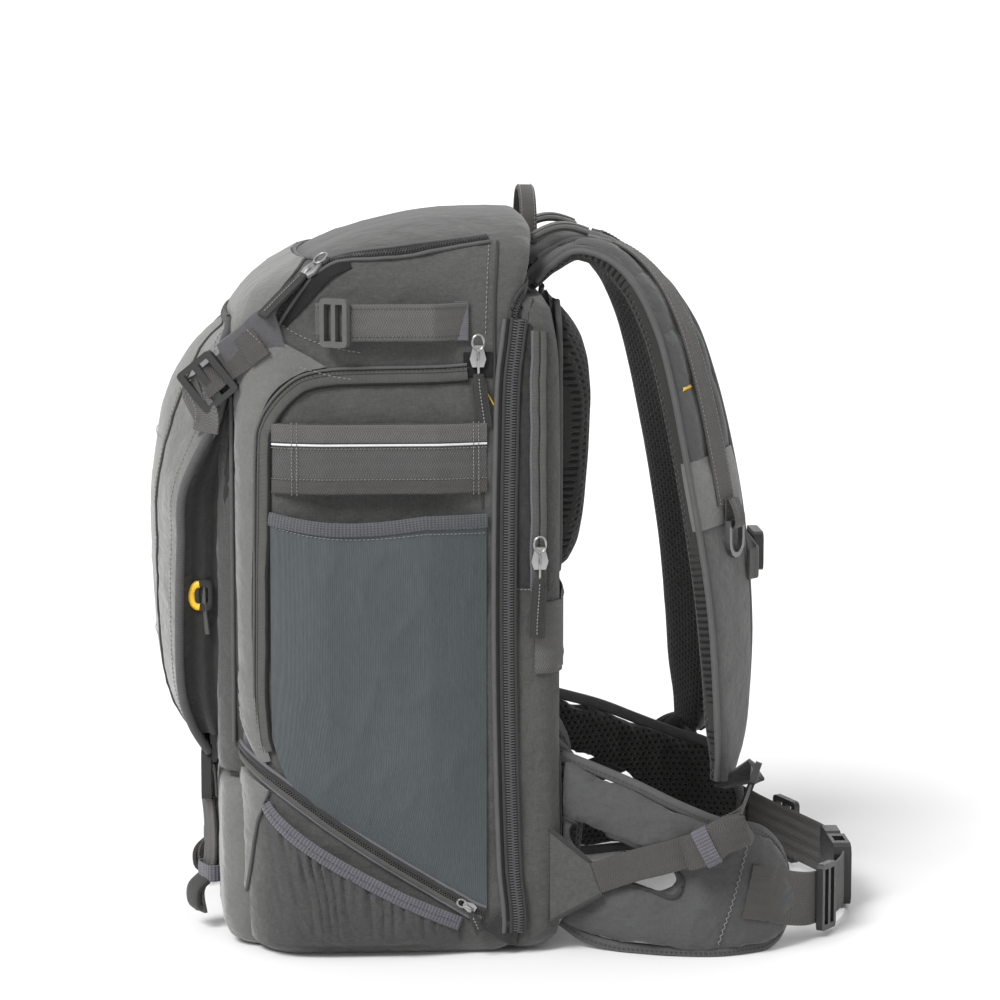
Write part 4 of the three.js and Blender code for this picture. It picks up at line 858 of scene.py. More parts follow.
def make_materials(settings):
    charcoal, pale, dark = tuple(settings.charcoal), tuple(settings.pale), tuple(settings.webbing)
    MATERIALS.update({
        "charcoal": cloth("charcoal_cloth", charcoal, melange=0.5, crease=0.0026, sheen=0.35),
        "panel": cloth("rear_cloth", charcoal, melange=0.52, crease=0.003),
        "dark": cloth("dark_cloth", (0.030, 0.030, 0.0295), melange=0.4, crease=0.0030),
        "low": cloth("pocket_cloth", (0.054, 0.054, 0.0535), melange=0.5, crease=0.003, sheen=0.3),
        # Near-black cloth for the door zip's inner line; the same material paints the shade in the lid zip's
        # slot, under the side slider and in the main zip's groove.
        "black": cloth("black_cloth_and_painted_shade", (0.013, 0.013, 0.013), melange=0.3, crease=0.0030, sheen=0.1),
        "pale": cloth(
            "pale_cloth", pale, melange=0.26, pitch=0.0009, crease=0.0024, sheen=0.5, roughness=0.7
        ),
        "olive": cloth(
            "olive_cloth", (0.112, 0.113, 0.104), melange=0.26, pitch=0.0009, crease=0.002, sheen=0.5,
            roughness=0.7
        ),
        "fan": cloth("strap_base_cloth", (0.085, 0.083, 0.088), melange=0.3, pitch=0.0009, sheen=0.3),
        "wing": cloth("wing_cloth", (0.070, 0.0705, 0.0715), melange=0.3, pitch=0.0009, crease=0.003),
        "stretch": knit("stretch_cloth", tuple(settings.stretch)),
        "webbing": webbing("webbing", dark),
        "light_webbing": webbing("light_webbing", (0.098, 0.096, 0.094), contrast=0.2),
        "band": webbing("band_webbing", (0.074, 0.074, 0.073), contrast=0.24),
        "tape": tape("zip_tape", (0.022, 0.0215, 0.021)),
        "olive_tape": tape("olive_tape", (0.078, 0.078, 0.073), 0.0009),
        "binding": tape("binding", (0.082, 0.081, 0.083), 0.0011),
        "dark_binding": tape("dark_binding", (0.030, 0.0295, 0.029), 0.0011),
        "elastic": elastic("elastic", (0.105, 0.101, 0.118)),
        "elastic_dark": elastic("elastic_dark", (0.075, 0.080, 0.088)),
        # The air mesh's second colour is the painted shade inside its holes.
        "mesh": air_mesh("air_mesh", (0.026, 0.026, 0.0245), (0.003, 0.003, 0.003)),
        "plastic": plastic("dark_plastic", (0.022, 0.022, 0.0225)),
        "grey_plastic": plastic("grey_plastic", (0.085, 0.085, 0.083)),
        "coil": plastic("zip_coil", (0.040, 0.038, 0.038), 0.36),
        "pale_coil": plastic("pale_coil", (0.074, 0.071, 0.075), 0.34),
        "metal": metal("satin_metal", (0.40, 0.40, 0.40), 0.34),
        "ring_metal": metal("ring_metal", (0.20, 0.20, 0.20), 0.34),
        "thread": thread("thread", (0.21, 0.205, 0.20)),
        "dark_thread": thread("dark_thread", (0.030, 0.029, 0.028)),
        "accent": thread("accent_thread", tuple(settings.accent)),
        "accent_plastic": plastic("accent_plastic", tuple(settings.accent), 0.38),
        "reflective": plastic("reflective_tape", (0.62, 0.62, 0.63), 0.35),
        "lilac": tape("lilac_tape", (0.115, 0.111, 0.125), 0.0012),
    })


# Body, lid and rear panel

SKINS = {}


def body_shape():
    levels = [0, 1.2, 3, 5.5, 9, 13] + [18 + 5.4 * k for k in range(86)]
    levels += [484 + 1.8 * k for k in range(1, 15)] + [BAG_HEIGHT - 0.6, BAG_HEIGHT]
    shape = loft([ring(body_at(z), 9, FRONT_BOW, z) for z in sorted(levels)])

    def soften(p, normal):
        flat = min(clamp(p.z / 25), clamp((BAG_HEIGHT - p.z) / 30 + 0.25))
        side = abs(normal.y)
        amount = 2.2 * folds(p, 46, 1.3, (1, 1, 0.8)) + 0.9 * folds(p, 17, 4.2)
        panel = exp(-((p.x + 10) / 55) ** 2) * side * 1.6
        return (amount + panel) * flat - 0.4

    return ruffle(shape, soften)


def rear_shape():
    own = [row[0] * REAR_PANEL_HEIGHT for row in REAR_ROWS]
    levels = sorted(set(own[:3] + own[-3:] + [12 + 5.5 * k for k in range(80) if 12 + 5.5 * k < own[-3]]))
    rings = []
    for z in levels:
        rear, half = rear_panel_at(z)
        rings.append(ring((body_at(z)[1] + GAP, rear, half, 7), REAR_PANEL_CORNER, 0, z))
    shape = loft(rings)

    def soften(p, normal):
        flat = clamp(p.z / 25) * clamp((REAR_PANEL_HEIGHT - p.z) / 20)
        slant = folds(vec(p.x, p.y, p.z + 0.8 * p.x), 30, 7.1, (1.4, 0.8, 0.8))
        return (1.7 * slant + 0.7 * folds(p, 12, 2.2)) * flat * (1.0 if normal.x > -0.5 else 0.0) - 0.3

    return ruffle(shape, soften)


PALE_FRONT = [
    (390, -113), (404, -112), (418, -107), (434, -93), (440, -87), (458, -75), (468, -66), (480, -57)
]
PALE_LEFT = [
    (-98, 438), (-101, 420), (-104.6, 392), (-108.8, 373), (-110.1, 319), (-110.8, 250), (-110.7, 195),
    (-105.5, 168), (-91, 136)
]
PALE_RIGHT = [
    (-45.5, 408.5), (-62.8, 404.5), (-79, 393.6), (-88.6, 376.7), (-92.8, 356.4), (-94, 305.3),
    (-95.3, 236.6), (-94.4, 188.3), (-90.7, 157), (-84.3, 138)
]
DOOR_ZIP = [
    (-45.35, 400.85), (-58.15, 397.9), (-70, 390.5), (-79.15, 380.05), (-85.3, 368.55), (-87.8, 356),
    (-88.95, 305.25), (-89.9, 236.55), (-90.4, 181.25), (-88.5, 155), (-86.7, 143.75)
]
LOW_LEFT = [(-108, 131), (-111, 84), (-112, 36)]
LOW_RIGHT = [(-86, 116.5), (-94, 92.1), (-99.1, 56.4), (-104, 28)]
SLANT_ZIP = [
    (-115, 150), (-90.9, 131.2), (-64.4, 110.7), (-37.9, 90.7), (-7.1, 70), (23.8, 50.5), (51.4, 33.9),
    (60, 29.6),
]

DIAGONAL = [(-99, 440), (-90, 431.5), (-79, 420.5), (-66, 413), (-52, 408), (-38, 404.5), (-26, 402.6)]
LID_ZIP = [
    (66, 492.6), (30, 487.9), (0, 484.2), (-30, 480.8), (-46, 475.5), (-60.6, 464.6), (-72, 450.2),
    (-81, 437)
]


def front_arc(z, edge):
    """Points round the front, between the two places where the body reaches back to the edge."""
    section = body_at(z)
    front, _, half, corner = section
    inset = clamp(front + corner - edge, 0, corner * 0.98)
    start = half - corner + sqrt(corner ** 2 - inset ** 2)
    points = [vec(front_of(section, y), y, z) for y in (mix(-start, start, k / 160) for k in range(161))]
    return evenly(points, 60)


def lifted(points, normals, lift, aside=0.0):
    """A path raised from its surface and moved across it."""
    return [f.centre + f.side * lift + f.normal * aside for f in frames_along(points, normals)]


def zip_parts(name, path, normals, width, coil, pair=True, piping="binding", tooth=5.2, base=None):
    """Tape, coil teeth, stitch rows and piping of one zip."""
    make = add_pair if pair else add_single
    bed = ribbon(lifted(path, normals, 0.7), normals, width, 1.4)
    edges = [tube(lifted(path, normals, 0.9, side * (width / 2 + 0.6)), 1.3) for side in (-1, 1)]
    rows = teeth(lifted(path, normals, 1.5), normals, width=tooth)
    lines = [lifted(path, normals, 1.5, side * (width / 2 - 1.6)) for side in (-1, 1)]
    sewn = [stitches(line, normals, 2.6, 1.7, 0.24) for line in lines]
    make(name, bed, "tape", base, "zip_tape")
    make(name + "_piping", join(*edges), piping, slot="zip_tape")
    make(name + "_teeth", rows, coil, slot="zip_tape")
    make(name + "_stitches", join(*sewn), "dark_thread", slot="zip_tape")


def slider(centre, along, out, pull, size):
    """A zip slider with a bail and a cloth pull that hangs along a path."""
    side = along.cross(out).normalized()
    outline = [(-2.6, -6), (2.6, -6), (4.6, 1.5), (3.2, 6), (-3.2, 6), (-4.6, 1.5)]
    block = plate([(x * size, y * size) for x, y in outline], [], 3.2, 0.6)
    body = placed(block, centre + out * 2.2, side, along)
    bail = tube([
        centre + out * 3.6 + along * (4.2 * size), centre + out * 6.2 + along * (1.5 * size),
        centre + out * 5.8 - along * (2 * size), centre + out * 3.6 - along * (4.0 * size),
    ], 0.8, 6)
    ringed = smooth_path([centre + out * 5.2] + pull[:1], 1.0)
    link = tube(ringed, 0.9, 6)
    ring_place = centre + out * 4.4 - along * (7.5 * size)
    turns = [TAU * k / 14 for k in range(15)]
    hoop = [ring_place + side * (3.2 * size * cos(a)) + along * (4.2 * size * sin(a)) for a in turns]
    path = smooth_path(pull, 2.0)
    normals = [out] * len(path)
    wide = [size * mix(5.5, 8.4, clamp(k / 5)) for k in range(len(path))]
    tab = ribbon(path, normals, wide, 3.4, 3.0)
    centre_row = [p + out * 1.75 for p in path[2:-1]]
    edges = [
        tube([p + out * 1.0 + side * (sign * 3.6 * size) for p in path[3:]], 0.7, 6) for sign in (-1, 1)
    ]
    return join(
        body, bail, link, tube(hoop, 0.8, 6)
    ), join(tab, *edges), stitches(centre_row, normals, 2.4, 1.7, 0.42)


def add_slider(name, centre, along, out, pull, size, pair=True):
    body, tab, edge = slider(centre, along, out, pull, size)
    make = add_pair if pair else add_piece
    make(name, body, "metal", slot="zip_tape")
    make(name + "_pull", tab, "dark_binding")
    make(name + "_pull_rib", edge, "thread")


def build_body():
    body = body_shape()
    SKINS["body"] = surface(body)
    lean = vec(-LID_SLOPE, 0, 1).normalized()
    below, above = sliced(body, vec(0, 0, LID_EDGE), lean)

    shell = add_piece("body_cloth", below, "charcoal", ["bag_shell"], "charcoal_cloth")
    lid = add_piece("lid_cloth", above, "charcoal", ["top_lid"], "charcoal_cloth")
    rear = rear_shape()
    SKINS["rear"] = surface(rear)
    panel = add_piece("rear_cloth", rear, "panel", ["rear_panel"], "charcoal_cloth")
    rows = []
    for z in (mix(398, 478, k / 40) for k in range(41)):
        rows.append(settle(SKINS["body"], front_arc(z, column_at(PALE_FRONT, z)[0]), 1.1)[0])
    cover = sheet_mesh(lambda u, v: rows[round(v * 40)][round(u * 60)], 60, 40, 1.6)
    add_piece("front_pale_panel", cover, "pale", slot="grey_cloth")


class BACKPACK_OT_body(bpy.types.Operator):
    """Sews the padded body, its lid and the rear panel"""

    bl_idname = "backpack.body"
    bl_label = "Body"

    def execute(self, context):
        make_materials(context.scene.backpack)
        build_body()
        return {"FINISHED"}


def build_side_panels():
    skin = SKINS["body"]
    add_pair(
        "side_pale_panel", side_patch(skin, PALE_LEFT, PALE_RIGHT, 1.6, 2.2), "pale", slot="grey_cloth"
    )
    add_pair("low_pale_panel", side_patch(skin, LOW_LEFT, LOW_RIGHT, 1.6, 2.2), "pale", slot="grey_cloth")
    for base, pairs, material, radius, lift in (
        ("pale_front_piping", PALE_LEFT, "binding", 1.5, 1.4),
        ("low_front_piping", LOW_LEFT, "binding", 1.5, 1.4),
        ("low_rear_piping", LOW_RIGHT, "binding", 1.5, 1.4),
        ("vertical_seam", [(72.1, 491), (70.5, 470), (69.2, 447), (68.6, 378)], "dark_binding", 1.1, 0.4),
        ("rear_seam", [(62, 376), (61, 345), (60.5, 312)], "dark_binding", 0.9, 0.3),
    ):
        points, normals = side_path(skin, pairs, lift)
        add_pair(base, tube(points, radius), material)
    for base, pairs, lift in (
        ("pale_seam", [(x + 3.6, z) for x, z in PALE_LEFT], 1.9),
        ("shoulder_seam", [(66, 488), (64.4, 468), (63.4, 446), (62.8, 430)], 0.5),
        ("diagonal_stitches", [(x - 1.2, z - 2.6) for x, z in DIAGONAL], 3.0),
        ("yoke_stitches", [(x + 6, z + 15) for x, z in DIAGONAL[1:]], 0.5),
    ):
        points, normals = side_path(skin, pairs, lift)
        add_pair(base, stitches(points, normals, 3.4, 2.2, 0.34), "thread")


class BACKPACK_OT_side_panels(bpy.types.Operator):
    """Lays the pale side panels and the seams of both sides"""

    bl_idname = "backpack.side_panels"
    bl_label = "Side panels"

    def execute(self, context):
        build_side_panels()
        return {"FINISHED"}


def add_trim(name, shape, key):
    return add_pair(name, shape, key, slot="zip_tape")


def build_zips():
    skin, rear = SKINS["body"], SKINS["rear"]
    whole, whole_normals = side_path(
        skin, [(50, 404), (20, 402.5), (-20, 402), (-40, 401.2)] + DOOR_ZIP[1:], 0.6,
    )
    add_trim(
        "door_garage", ribbon(lifted(whole, whole_normals, 1.2, -0.6), whole_normals, 9.0, 2.8, 2.6),
        "olive_tape"
    )
    for name, aside, lift, radius, key in (
        ("door_outer_piping", 5.6, 1.2, 1.15, "binding"), ("door_inner_line", -5.2, 0.5, 1.5, "black"),
        ("door_lip", 1.6, 2.5, 0.35, "dark_binding"),
    ):
        add_trim(name, tube(lifted(whole, whole_normals, lift, aside), radius), key)
    sewn = stitches(lifted(whole, whole_normals, 2.5, 3.6), whole_normals, 3.0, 2.0, 0.22)
    add_trim("door_stitches", sewn, "dark_thread")
    path, normals = side_path(skin, SLANT_ZIP, 1.2)
    zip_parts("slant_zip", path, normals, 9.0, "coil", piping="lilac", tooth=3.4)
    for aside in (-2.9, 2.9):
        rib = ribbon(lifted(path, normals, 1.9, aside), normals, 3.6, 1.6, 2.6)
        add_trim(
            "slant_zip_cover_low" if aside < 0 else "slant_zip_cover_high", rib,
            "olive_tape" if aside > 0 else "dark_binding"
        )
    sections = [(z, body_at(z)) for z in (mix(16, 440, k / 85) for k in range(86))]
    edge = [vec(s[1] + 0.6, -(s[2] + 1.0), z) for z, s in sections]
    out = [vec(0.12, -1, 0).normalized()] * len(edge)
    zip_parts("main_zip", edge, out, 8.4, "pale_coil", piping="dark_binding", tooth=7.6, base="main_zip")
    # Painted shade: a near-black cord in the groove between the main zip and its lip.
    groove = [p + vec(-7.2, -0.4, 0) for p in edge]
    add_trim("main_zip_groove_painted_shade", tube(groove, 1.5), "black")
    lip = [p + vec(-9.8, -0.9, 0) for p in edge]
    add_pair("main_zip_lip", tube(lip, 1.7), "binding")
    arch = [
        (85.6, -140, 440), (88, -136, 450), (90, -126, 458), (91, -105, 461.5), (91.5, -50, 463),
        (91.5, 0, 463), (91.5, 50, 463), (91, 105, 461.5), (90, 126, 458), (88, 136, 450), (85.6, 140, 440),
    ]
    hits, normals = settle(skin, smooth_path(arch), 0, lambda p, n: n.x * p.x + n.y * p.y > 0)
    zip_parts("arch_zip", hits, normals, 7.4, "pale_coil", pair=False, piping="dark_binding")
    path, normals = project(rear, [vec(98.9, 0, mix(255, 431, k / 60)) for k in range(61)], TO_SIDE, 0.5)
    zip_parts(
        "laptop_zip", path, normals, 8.6, "coil", pair=False, piping="dark_binding", tooth=3.0,
        base="laptop_zip"
    )
    for name, aside, wide, key in (
        ("laptop_zip_cover", 2.6, 4.6, "olive_tape"), ("laptop_zip_rear_cover", -2.6, 4.4, "olive_tape"),
        ("laptop_zip_piping", -5.4, 2.0, "lilac"),
    ):
        add_piece(
            name, ribbon(lifted(path, normals, 2.5, aside), normals, wide, 1.8, 2.6), key, slot="zip_tape"
        )
    sewn = stitches(lifted(path, normals, 0.9, 6.6), normals, 3.2, 2.1, 0.36)
    add_piece("laptop_stitches", sewn, "dark_thread")

    def wrinkled(u, v):
        x, z = mix(84.6, 94.4, u), mix(258, 436, v)
        place, normal = project(rear, [vec(x, 0, z)], TO_SIDE)
        slant = folds(vec(x, 0, z + 1.5 * x), 19, 2.9, (0.5, 1, 1.3))
        fade = hump(u) ** 0.5 * min(1, 12 * min(v, 1 - v))
        return place[0] + normal[0] * (1.2 + 1.9 * max(slant, -0.5) * fade)

    add_piece("laptop_sleeve_cloth", sheet_mesh(wrinkled, 10, 90, 1.4), "dark", slot="charcoal_cloth")
    hem, hem_normals = project(rear, [vec(mix(85, 95, k / 12), 0, 256) for k in range(13)], TO_SIDE, 1.6)
    add_piece("laptop_sleeve_hem", stitches(hem, hem_normals, 2.6, 1.8, 0.34), "thread")
    path, normals = side_path(skin, LID_ZIP, 0.3)
    zip_parts("lid_zip", path, normals, 7.0, "coil", tooth=4.2)
    # Painted shadow: a near-black ribbon, widest in the middle, lies below the lid zip where the slot
    # between the zip and the side cloth is in shade.
    shade, shade_normals = side_path(
        skin, [(-28, 476.5), (-44, 470.5), (-56, 459.5), (-66, 447), (-74, 436)], 0.5
    )
    wide = [3 + 9 * hump(min(1, 0.12 + k / (len(shade) - 1) * 0.8)) for k in range(len(shade))]
    add_pair("lid_zip_painted_shadow", ribbon(shade, shade_normals, wide, 1.2, 3), "black", slot="charcoal_cloth")
    hits, _ = settle(skin, front_arc(479, -52), 0.8, lambda p, n: n.x < 0 or n.z > 0.9)
    add_piece("lid_front_piping", tube(hits, 1.5), "binding")

    down = vec(0, 0, -1)
    place, normal = side_path(skin, [(57.0, 417), (57.2, 410), (57.4, 403)], 1.0)
    out = normal[0]
    # Painted shade: a flat near-black patch under the side slider stands for the shade in the recess where
    # the slider sits.
    recess, recess_normals = side_path(skin, [(47.5, 409.5), (67.5, 409.5)], 1.0)
    add_pair("side_recess_painted_shade", ribbon(recess, recess_normals, 17, 1.4, 6), "black", slot="charcoal_cloth")
    add_slider("side_slider", place[1] + out * 1.0, down, out, [
        place[-1] + out * 4.5, place[-1] + out * 5 + vec(0.6, 0, -10),
        place[-1] + out * 4 + vec(2.6, 0, -24), place[-1] + out * 3.6 + vec(4.4, 0, -36),
    ], 1.25)
    thread_path, _ = side_path(skin, [(60.5, 394), (64, 389.5), (68.3, 382)], 0.8)
    add_pair("side_accent_thread", tube(thread_path, 0.5), "accent")
    place, normal = project(rear, [vec(99, 0, 274)], TO_SIDE, 1.0)
    add_slider("laptop_slider", place[0] + vec(0, -2.2, 4), down, normal[0], [
        place[0] + vec(0, -6, -10), place[0] + vec(-0.6, -6, -22), place[0] + vec(-1.6, -5, -38),
        place[0] + vec(-2.0, -4.6, -51),
    ], 1.3, pair=False)
    place, normal = side_path(skin, [(-46, 476), (-54, 470), (-58, 466)], 1.6)
    run = (place[-1] - place[0]).normalized()
    add_slider("top_slider", place[len(place) // 2], run, normal[0], [
        place[-1] + normal[0] * 4, place[-1] + run * 14 + normal[0] * 4 + vec(0, 0, -1),
        place[-1] + run * 30 + normal[0] * 3.6 + vec(0, 0, -2),
        place[-1] + run * 40 + normal[0] * 3 + vec(0, 0, -2.5),
    ], 1.25)
    end, end_normals = side_path(skin, [(-77.5, 449), (-84, 441.5), (-90.5, 434)], 1.4)
    wide = [mix(5, 20, k / (len(end) - 1)) for k in range(len(end))]
    add_pair("lid_zip_end", ribbon(end, end_normals, wide, 2.0, 5), "pale", slot="grey_cloth")
    place, normal = side_path(skin, [(51, 35.6), (52, 35)], 1.6)
    add_slider("slant_slider", place[0], vec(0.86, 0, -0.5), normal[0], [
        place[0] + vec(1, -4, -4), place[0] + vec(4, -5, -10), place[0] + vec(7, -4.4, -17),
    ], 0.8)
    patch, facing = side_path(skin, [(66, 24.5), (77, 16.5), (88, 8.6)], 1.6)
    add_pair("zip_end_tab", ribbon(patch, facing, 15, 2.2, 6), "dark")


class BACKPACK_OT_zips(bpy.types.Operator):
    """Adds the zips with their teeth, piping, sliders and pulls"""

    bl_idname = "backpack.zips"
    bl_label = "Zips"

    def execute(self, context):
        build_zips()
        return {"FINISHED"}


# Front pockets and flap

def cup_shape(rows, foot, top, width, seed):
    """A soft pocket on the front, from its table of rows."""
    rings = []
    for up, depth, half in smooth_rows(rows, 46):
        z = mix(foot, top, clamp(up))
        front = -FRONT_DEPTH - POCKET_DEPTH * depth
        half_width = half * width / 2
        section = (
            front, -FRONT_DEPTH + FRONT_CORNER, half_width, min(POCKET_DEPTH * 1.1, half_width * 0.9)
        )
        rings.append(ring(section, 7, FRONT_BOW, z))
    return ruffle(
        loft(rings), lambda p, n: 1.2 * folds(p, 30, seed, (1, 0.8, 1)) - 0.5 if p.z > foot + 4 else -0.2
    )


FRONT_POCKET = [
    (0.0, 0.75, 0.95), (0.03, 0.95, 0.99), (0.3, 1, 1), (0.7, 1, 1), (0.93, 0.95, 0.97), (1.0, 0.6, 0.9)
]
BASE_POCKET = [
    (0.0, 0.2, 0.93), (0.06, 0.62, 0.98), (0.2, 0.85, 1), (0.6, 0.88, 1), (0.93, 0.85, 0.99),
    (1.0, 0.5, 0.95)
]
# up of FLAP_TOP, out of FLAP_OUT past FRONT_DEPTH, half of half FLAP_WIDTH, back of FLAP_OUT
FLAP_TOP, FLAP_OUT, FLAP_WIDTH, FLAP_WALL = 438, 66, 246, 4
FLAP_ROWS = [
    (0.3, 0.46, 0.64, 0.06), (0.35, 0.68, 0.77, 0.12), (0.415, 0.88, 0.88, 0.22), (0.52, 0.97, 0.95, 0.3),
    (0.65, 1.0, 0.98, 0.36), (0.74, 0.98, 1.0, 0.38), (0.85, 0.86, 1.0, 0.6), (0.92, 0.65, 0.96, 0.5),
    (0.965, 0.4, 0.9, 0.22), (1.0, 0.04, 0.82, 0.0),
]


def pocket_front(y):
    section = (-FRONT_DEPTH - POCKET_DEPTH, 0, 118, POCKET_DEPTH * 1.1)
    return front_of(section, y)


def flap_point(row, across):
    y = across * row[2] * FLAP_WIDTH / 2
    z = row[0] * FLAP_TOP
    stand = (row[1] - row[3] * abs(across) ** 2.6) * FLAP_OUT
    behind = front_of(body_at(z), y)
    if 120 < z < 398 and abs(y) < 118:
        behind = min(behind, pocket_front(y))
    return vec(min(-FRONT_DEPTH - stand, behind - FLAP_WALL - 0.6), y, z)


def flap_at(u, v, rows):
    k = v * (len(rows) - 1)
    low = min(int(k), len(rows) - 2)
    p = flap_point(rows[low], 2 * u - 1).lerp(flap_point(rows[low + 1], 2 * u - 1), k - low)
    inside = min(1.0, 8 * min(u, 1 - u)) * min(1.0, 8 * min(v, 1 - v))
    slanted = vec(p.x, 0.6 * abs(p.y), p.z + 0.8 * abs(p.y))
    swell = 1.2 * folds(p, 42, 9.4, (1, 0.7, 1)) + 0.4 * folds(p, 15, 3.3)
    swell += 3.2 * folds(slanted, 34, 6.1) * abs(2 * u - 1) ** 2
    return p + TO_FRONT * (swell * inside)


def build_front():
    pocket = cup_shape(FRONT_POCKET, 124, 394, 236, 2.4)
    SKINS["pocket"] = surface(pocket)
    add_piece("front_pocket_cloth", pocket, "charcoal", ["front_pocket"], "charcoal_cloth")
    base = cup_shape(BASE_POCKET, 0.8, 118, 244, 6.1)
    SKINS["base"] = surface(base)
    add_piece("base_pocket_cloth", base, "pale", ["base_pocket"], "grey_cloth")
    rows = smooth_rows(FLAP_ROWS, 90)
    columns, split = 56, 10

    def flap_cloth_of(centre, normal):
        row = column_at(FLAP_ROWS, centre.z / FLAP_TOP)
        across = abs(centre.y) / (row[1] * FLAP_WIDTH / 2)
        return 1 if across > 1 - 2 * split / columns else 0

    sheet = sheet_mesh(lambda u, v: flap_at(1 - u, v, rows), columns, 90, FLAP_WALL)
    flap = add_piece("flap_cloth", sheet, ["olive", "pale"], ["front_flap"], "grey_cloth", flap_cloth_of)
    area = sheet_area(lambda u, v: flap_at(u, v, rows), columns, 90)
    wide = sum(
        (flap_at((k + 1) / 40, 0.6, rows) - flap_at(k / 40, 0.6, rows)).length for k in range(40)
    ) * MM
    tall = sum(
        (flap_at(0.5, (k + 1) / 60, rows) - flap_at(0.5, k / 60, rows)).length for k in range(60)
    ) * MM
    facing = [vec(-1, -0.25, 0).normalized()] * 71
    pieces = []

    def line(share, lift=0.0):
        out = []
        for k in range(71):
            p = flap_at(share, k / 70, rows)
            over = flap_at(share + 0.02, k / 70, rows) - p
            up = flap_at(share, min(k / 70 + 0.01, 1), rows) - flap_at(share, max(k / 70 - 0.01, 0), rows)
            normal = over.cross(up).normalized()
            normal = normal if normal.x < 0 else -normal
            out.append((p + normal * lift, normal))
        return [p for p, _ in out], [n for _, n in out]

    rim, _ = line(0.0)
    pieces += add_pair(
        "flap_binding", ribbon([p + vec(1.6, 0, 0) for p in rim], facing, 6.5, 6.2, 2.4), "binding"
    )
    path, normals = line(0.045, 0.2)
    pieces += add_pair("flap_stitches", stitches(path, normals, 3.4, 2.2, 0.3), "thread")
    path, normals = line(split / columns, 0.1)
    pieces += add_pair("flap_side_seam", tube(path, 1.3), "dark_binding")
    path, normals = line(split / columns + 0.022, 0.2)
    pieces += add_pair("flap_side_stitches", stitches(path, normals, 3.4, 2.2, 0.3), "thread")
    foot = [flap_at(k / 60, 0, rows) for k in range(61)]
    shape = ribbon([p + vec(1.6, 0, 0) for p in foot], TO_FRONT, 5.5, 6.2, 2.4)
    pieces += add_single("flap_foot_binding", shape, "dark_binding")
    head = [flap_at(k / 60, 1, rows) for k in range(61)]
    shape = ribbon(head, vec(-1, 0, 0.5).normalized(), 7, 3, 2.4)
    pieces += add_single("flap_head_seam", shape, "dark_binding")
    for v, label in ((0.30, "low"), (0.62, "middle")):
        seam = [flap_at(k / 60, v, rows) + vec(-0.5, 0, 0) for k in range(12, 49)]
        pieces += add_single(f"flap_seam_{label}", stitches(seam, TO_FRONT, 3.4, 2.2, 0.3), "thread")

    def gusset_at(u, v):
        z = mix(146, 396, v)
        edge = flap_point([z / FLAP_TOP, *column_at(FLAP_ROWS, z / FLAP_TOP)], -1) + vec(4.4, 2.0, 0)
        back = vec(-FRONT_DEPTH - (1.5 if z > 380 else POCKET_DEPTH * 0.25), -110 if z > 380 else -116.6, z)
        crease = 9 * hump(u) + 3.2 * sin(2 * TAU * u) * hump(u)
        wrinkle = 2.0 * folds(vec(u * 30, z, 0), 21, 4.4, (1.5, 0.6, 1)) * hump(u)
        return edge.lerp(back, u) + vec(0, max(crease + wrinkle, 0), 0)

    gusset = sheet_mesh(gusset_at, 22, 60, 1.6)
    add_pair("flap_gusset", gusset, "dark", slot="charcoal_cloth")
    path = [vec(-FRONT_DEPTH - POCKET_DEPTH * 0.25 - 1.0, -117.4, mix(146, 386, k / 60)) for k in range(61)]
    add_pair("pocket_front_piping", tube(path, 1.5), "binding")
    inner = [(-134.5, -107.5, 266), (-133.2, -109.5, 255), (-132.6, -110, 240), (-130.5, -108, 220)]
    inner = smooth_path(inner)
    add_pair("inner_clip_strap", ribbon(inner, vec(-0.5, -1, 0).normalized(), 8, 1.8, 5), "light_webbing")
    bow = [vec(-133.6 - 5.4 * hump(k / 16), -112.5, 247.8 + 8.0 * cos(pi * k / 16)) for k in range(17)]
    add_pair("inner_clip_latch", tube(bow, 2.7, 10), "accent_plastic", slot="buckle_plastic")
    plate_shape = placed(
        plate(rounded(13, 22, 4), [rounded(6, 12, 2.5)], 4, 0.8), vec(-131.2, -110.6, 247.8),
        vec(1, 0.35, 0), UP
    )
    add_pair("inner_clip_body", plate_shape, "plastic", slot="buckle_plastic")


class BACKPACK_OT_front(bpy.types.Operator):
    """Sews the front pockets and the stash flap with its binding"""

    bl_idname = "backpack.front"
    bl_label = "Front"

    def execute(self, context):
        build_front()
        return {"FINISHED"}


# Side pockets and bands

def slant_at(x):
    return mix(120, 31.4, clamp((x + 84) / 147))


def side_point(x, z, out):
    return vec(x, -(side_at(x, z) + GAP + out), z)


def side_pocket_at(u, v):
    x = mix(-84, 63, u)
    foot = slant_at(x) + 34 * max(0, 1 - u / 0.16) ** 2
    hem = 308 - 5 * hump(min(u * 1.4, 1))
    fullness = min(1, hump(u) * 1.35) * min(1, v * 2.6) ** 0.6
    p = side_point(x, mix(foot, hem, v), 2 + 15 * fullness)
    inside = min(1.0, 7 * min(u, 1 - u)) * min(1.0, 9 * v)
    calm = 1 - clamp((v - 0.93) / 0.07)
    p.y -= (2.6 * folds(p, 52, 5.5, (1, 1, 0.5)) * calm + 0.5 * folds(p, 15, 2.9)) * inside
    return p


def lower_pocket_base(u, v):
    x = mix(-88, 44, u)
    top = mix(112, 24, u ** 0.72)
    lengthwise = min(1, hump(u) * 1.3)
    fullness = lengthwise * hump(min(0.15 + v * 0.6, 1))
    return side_point(x, mix(9, top, v), 2 + 11 * fullness)


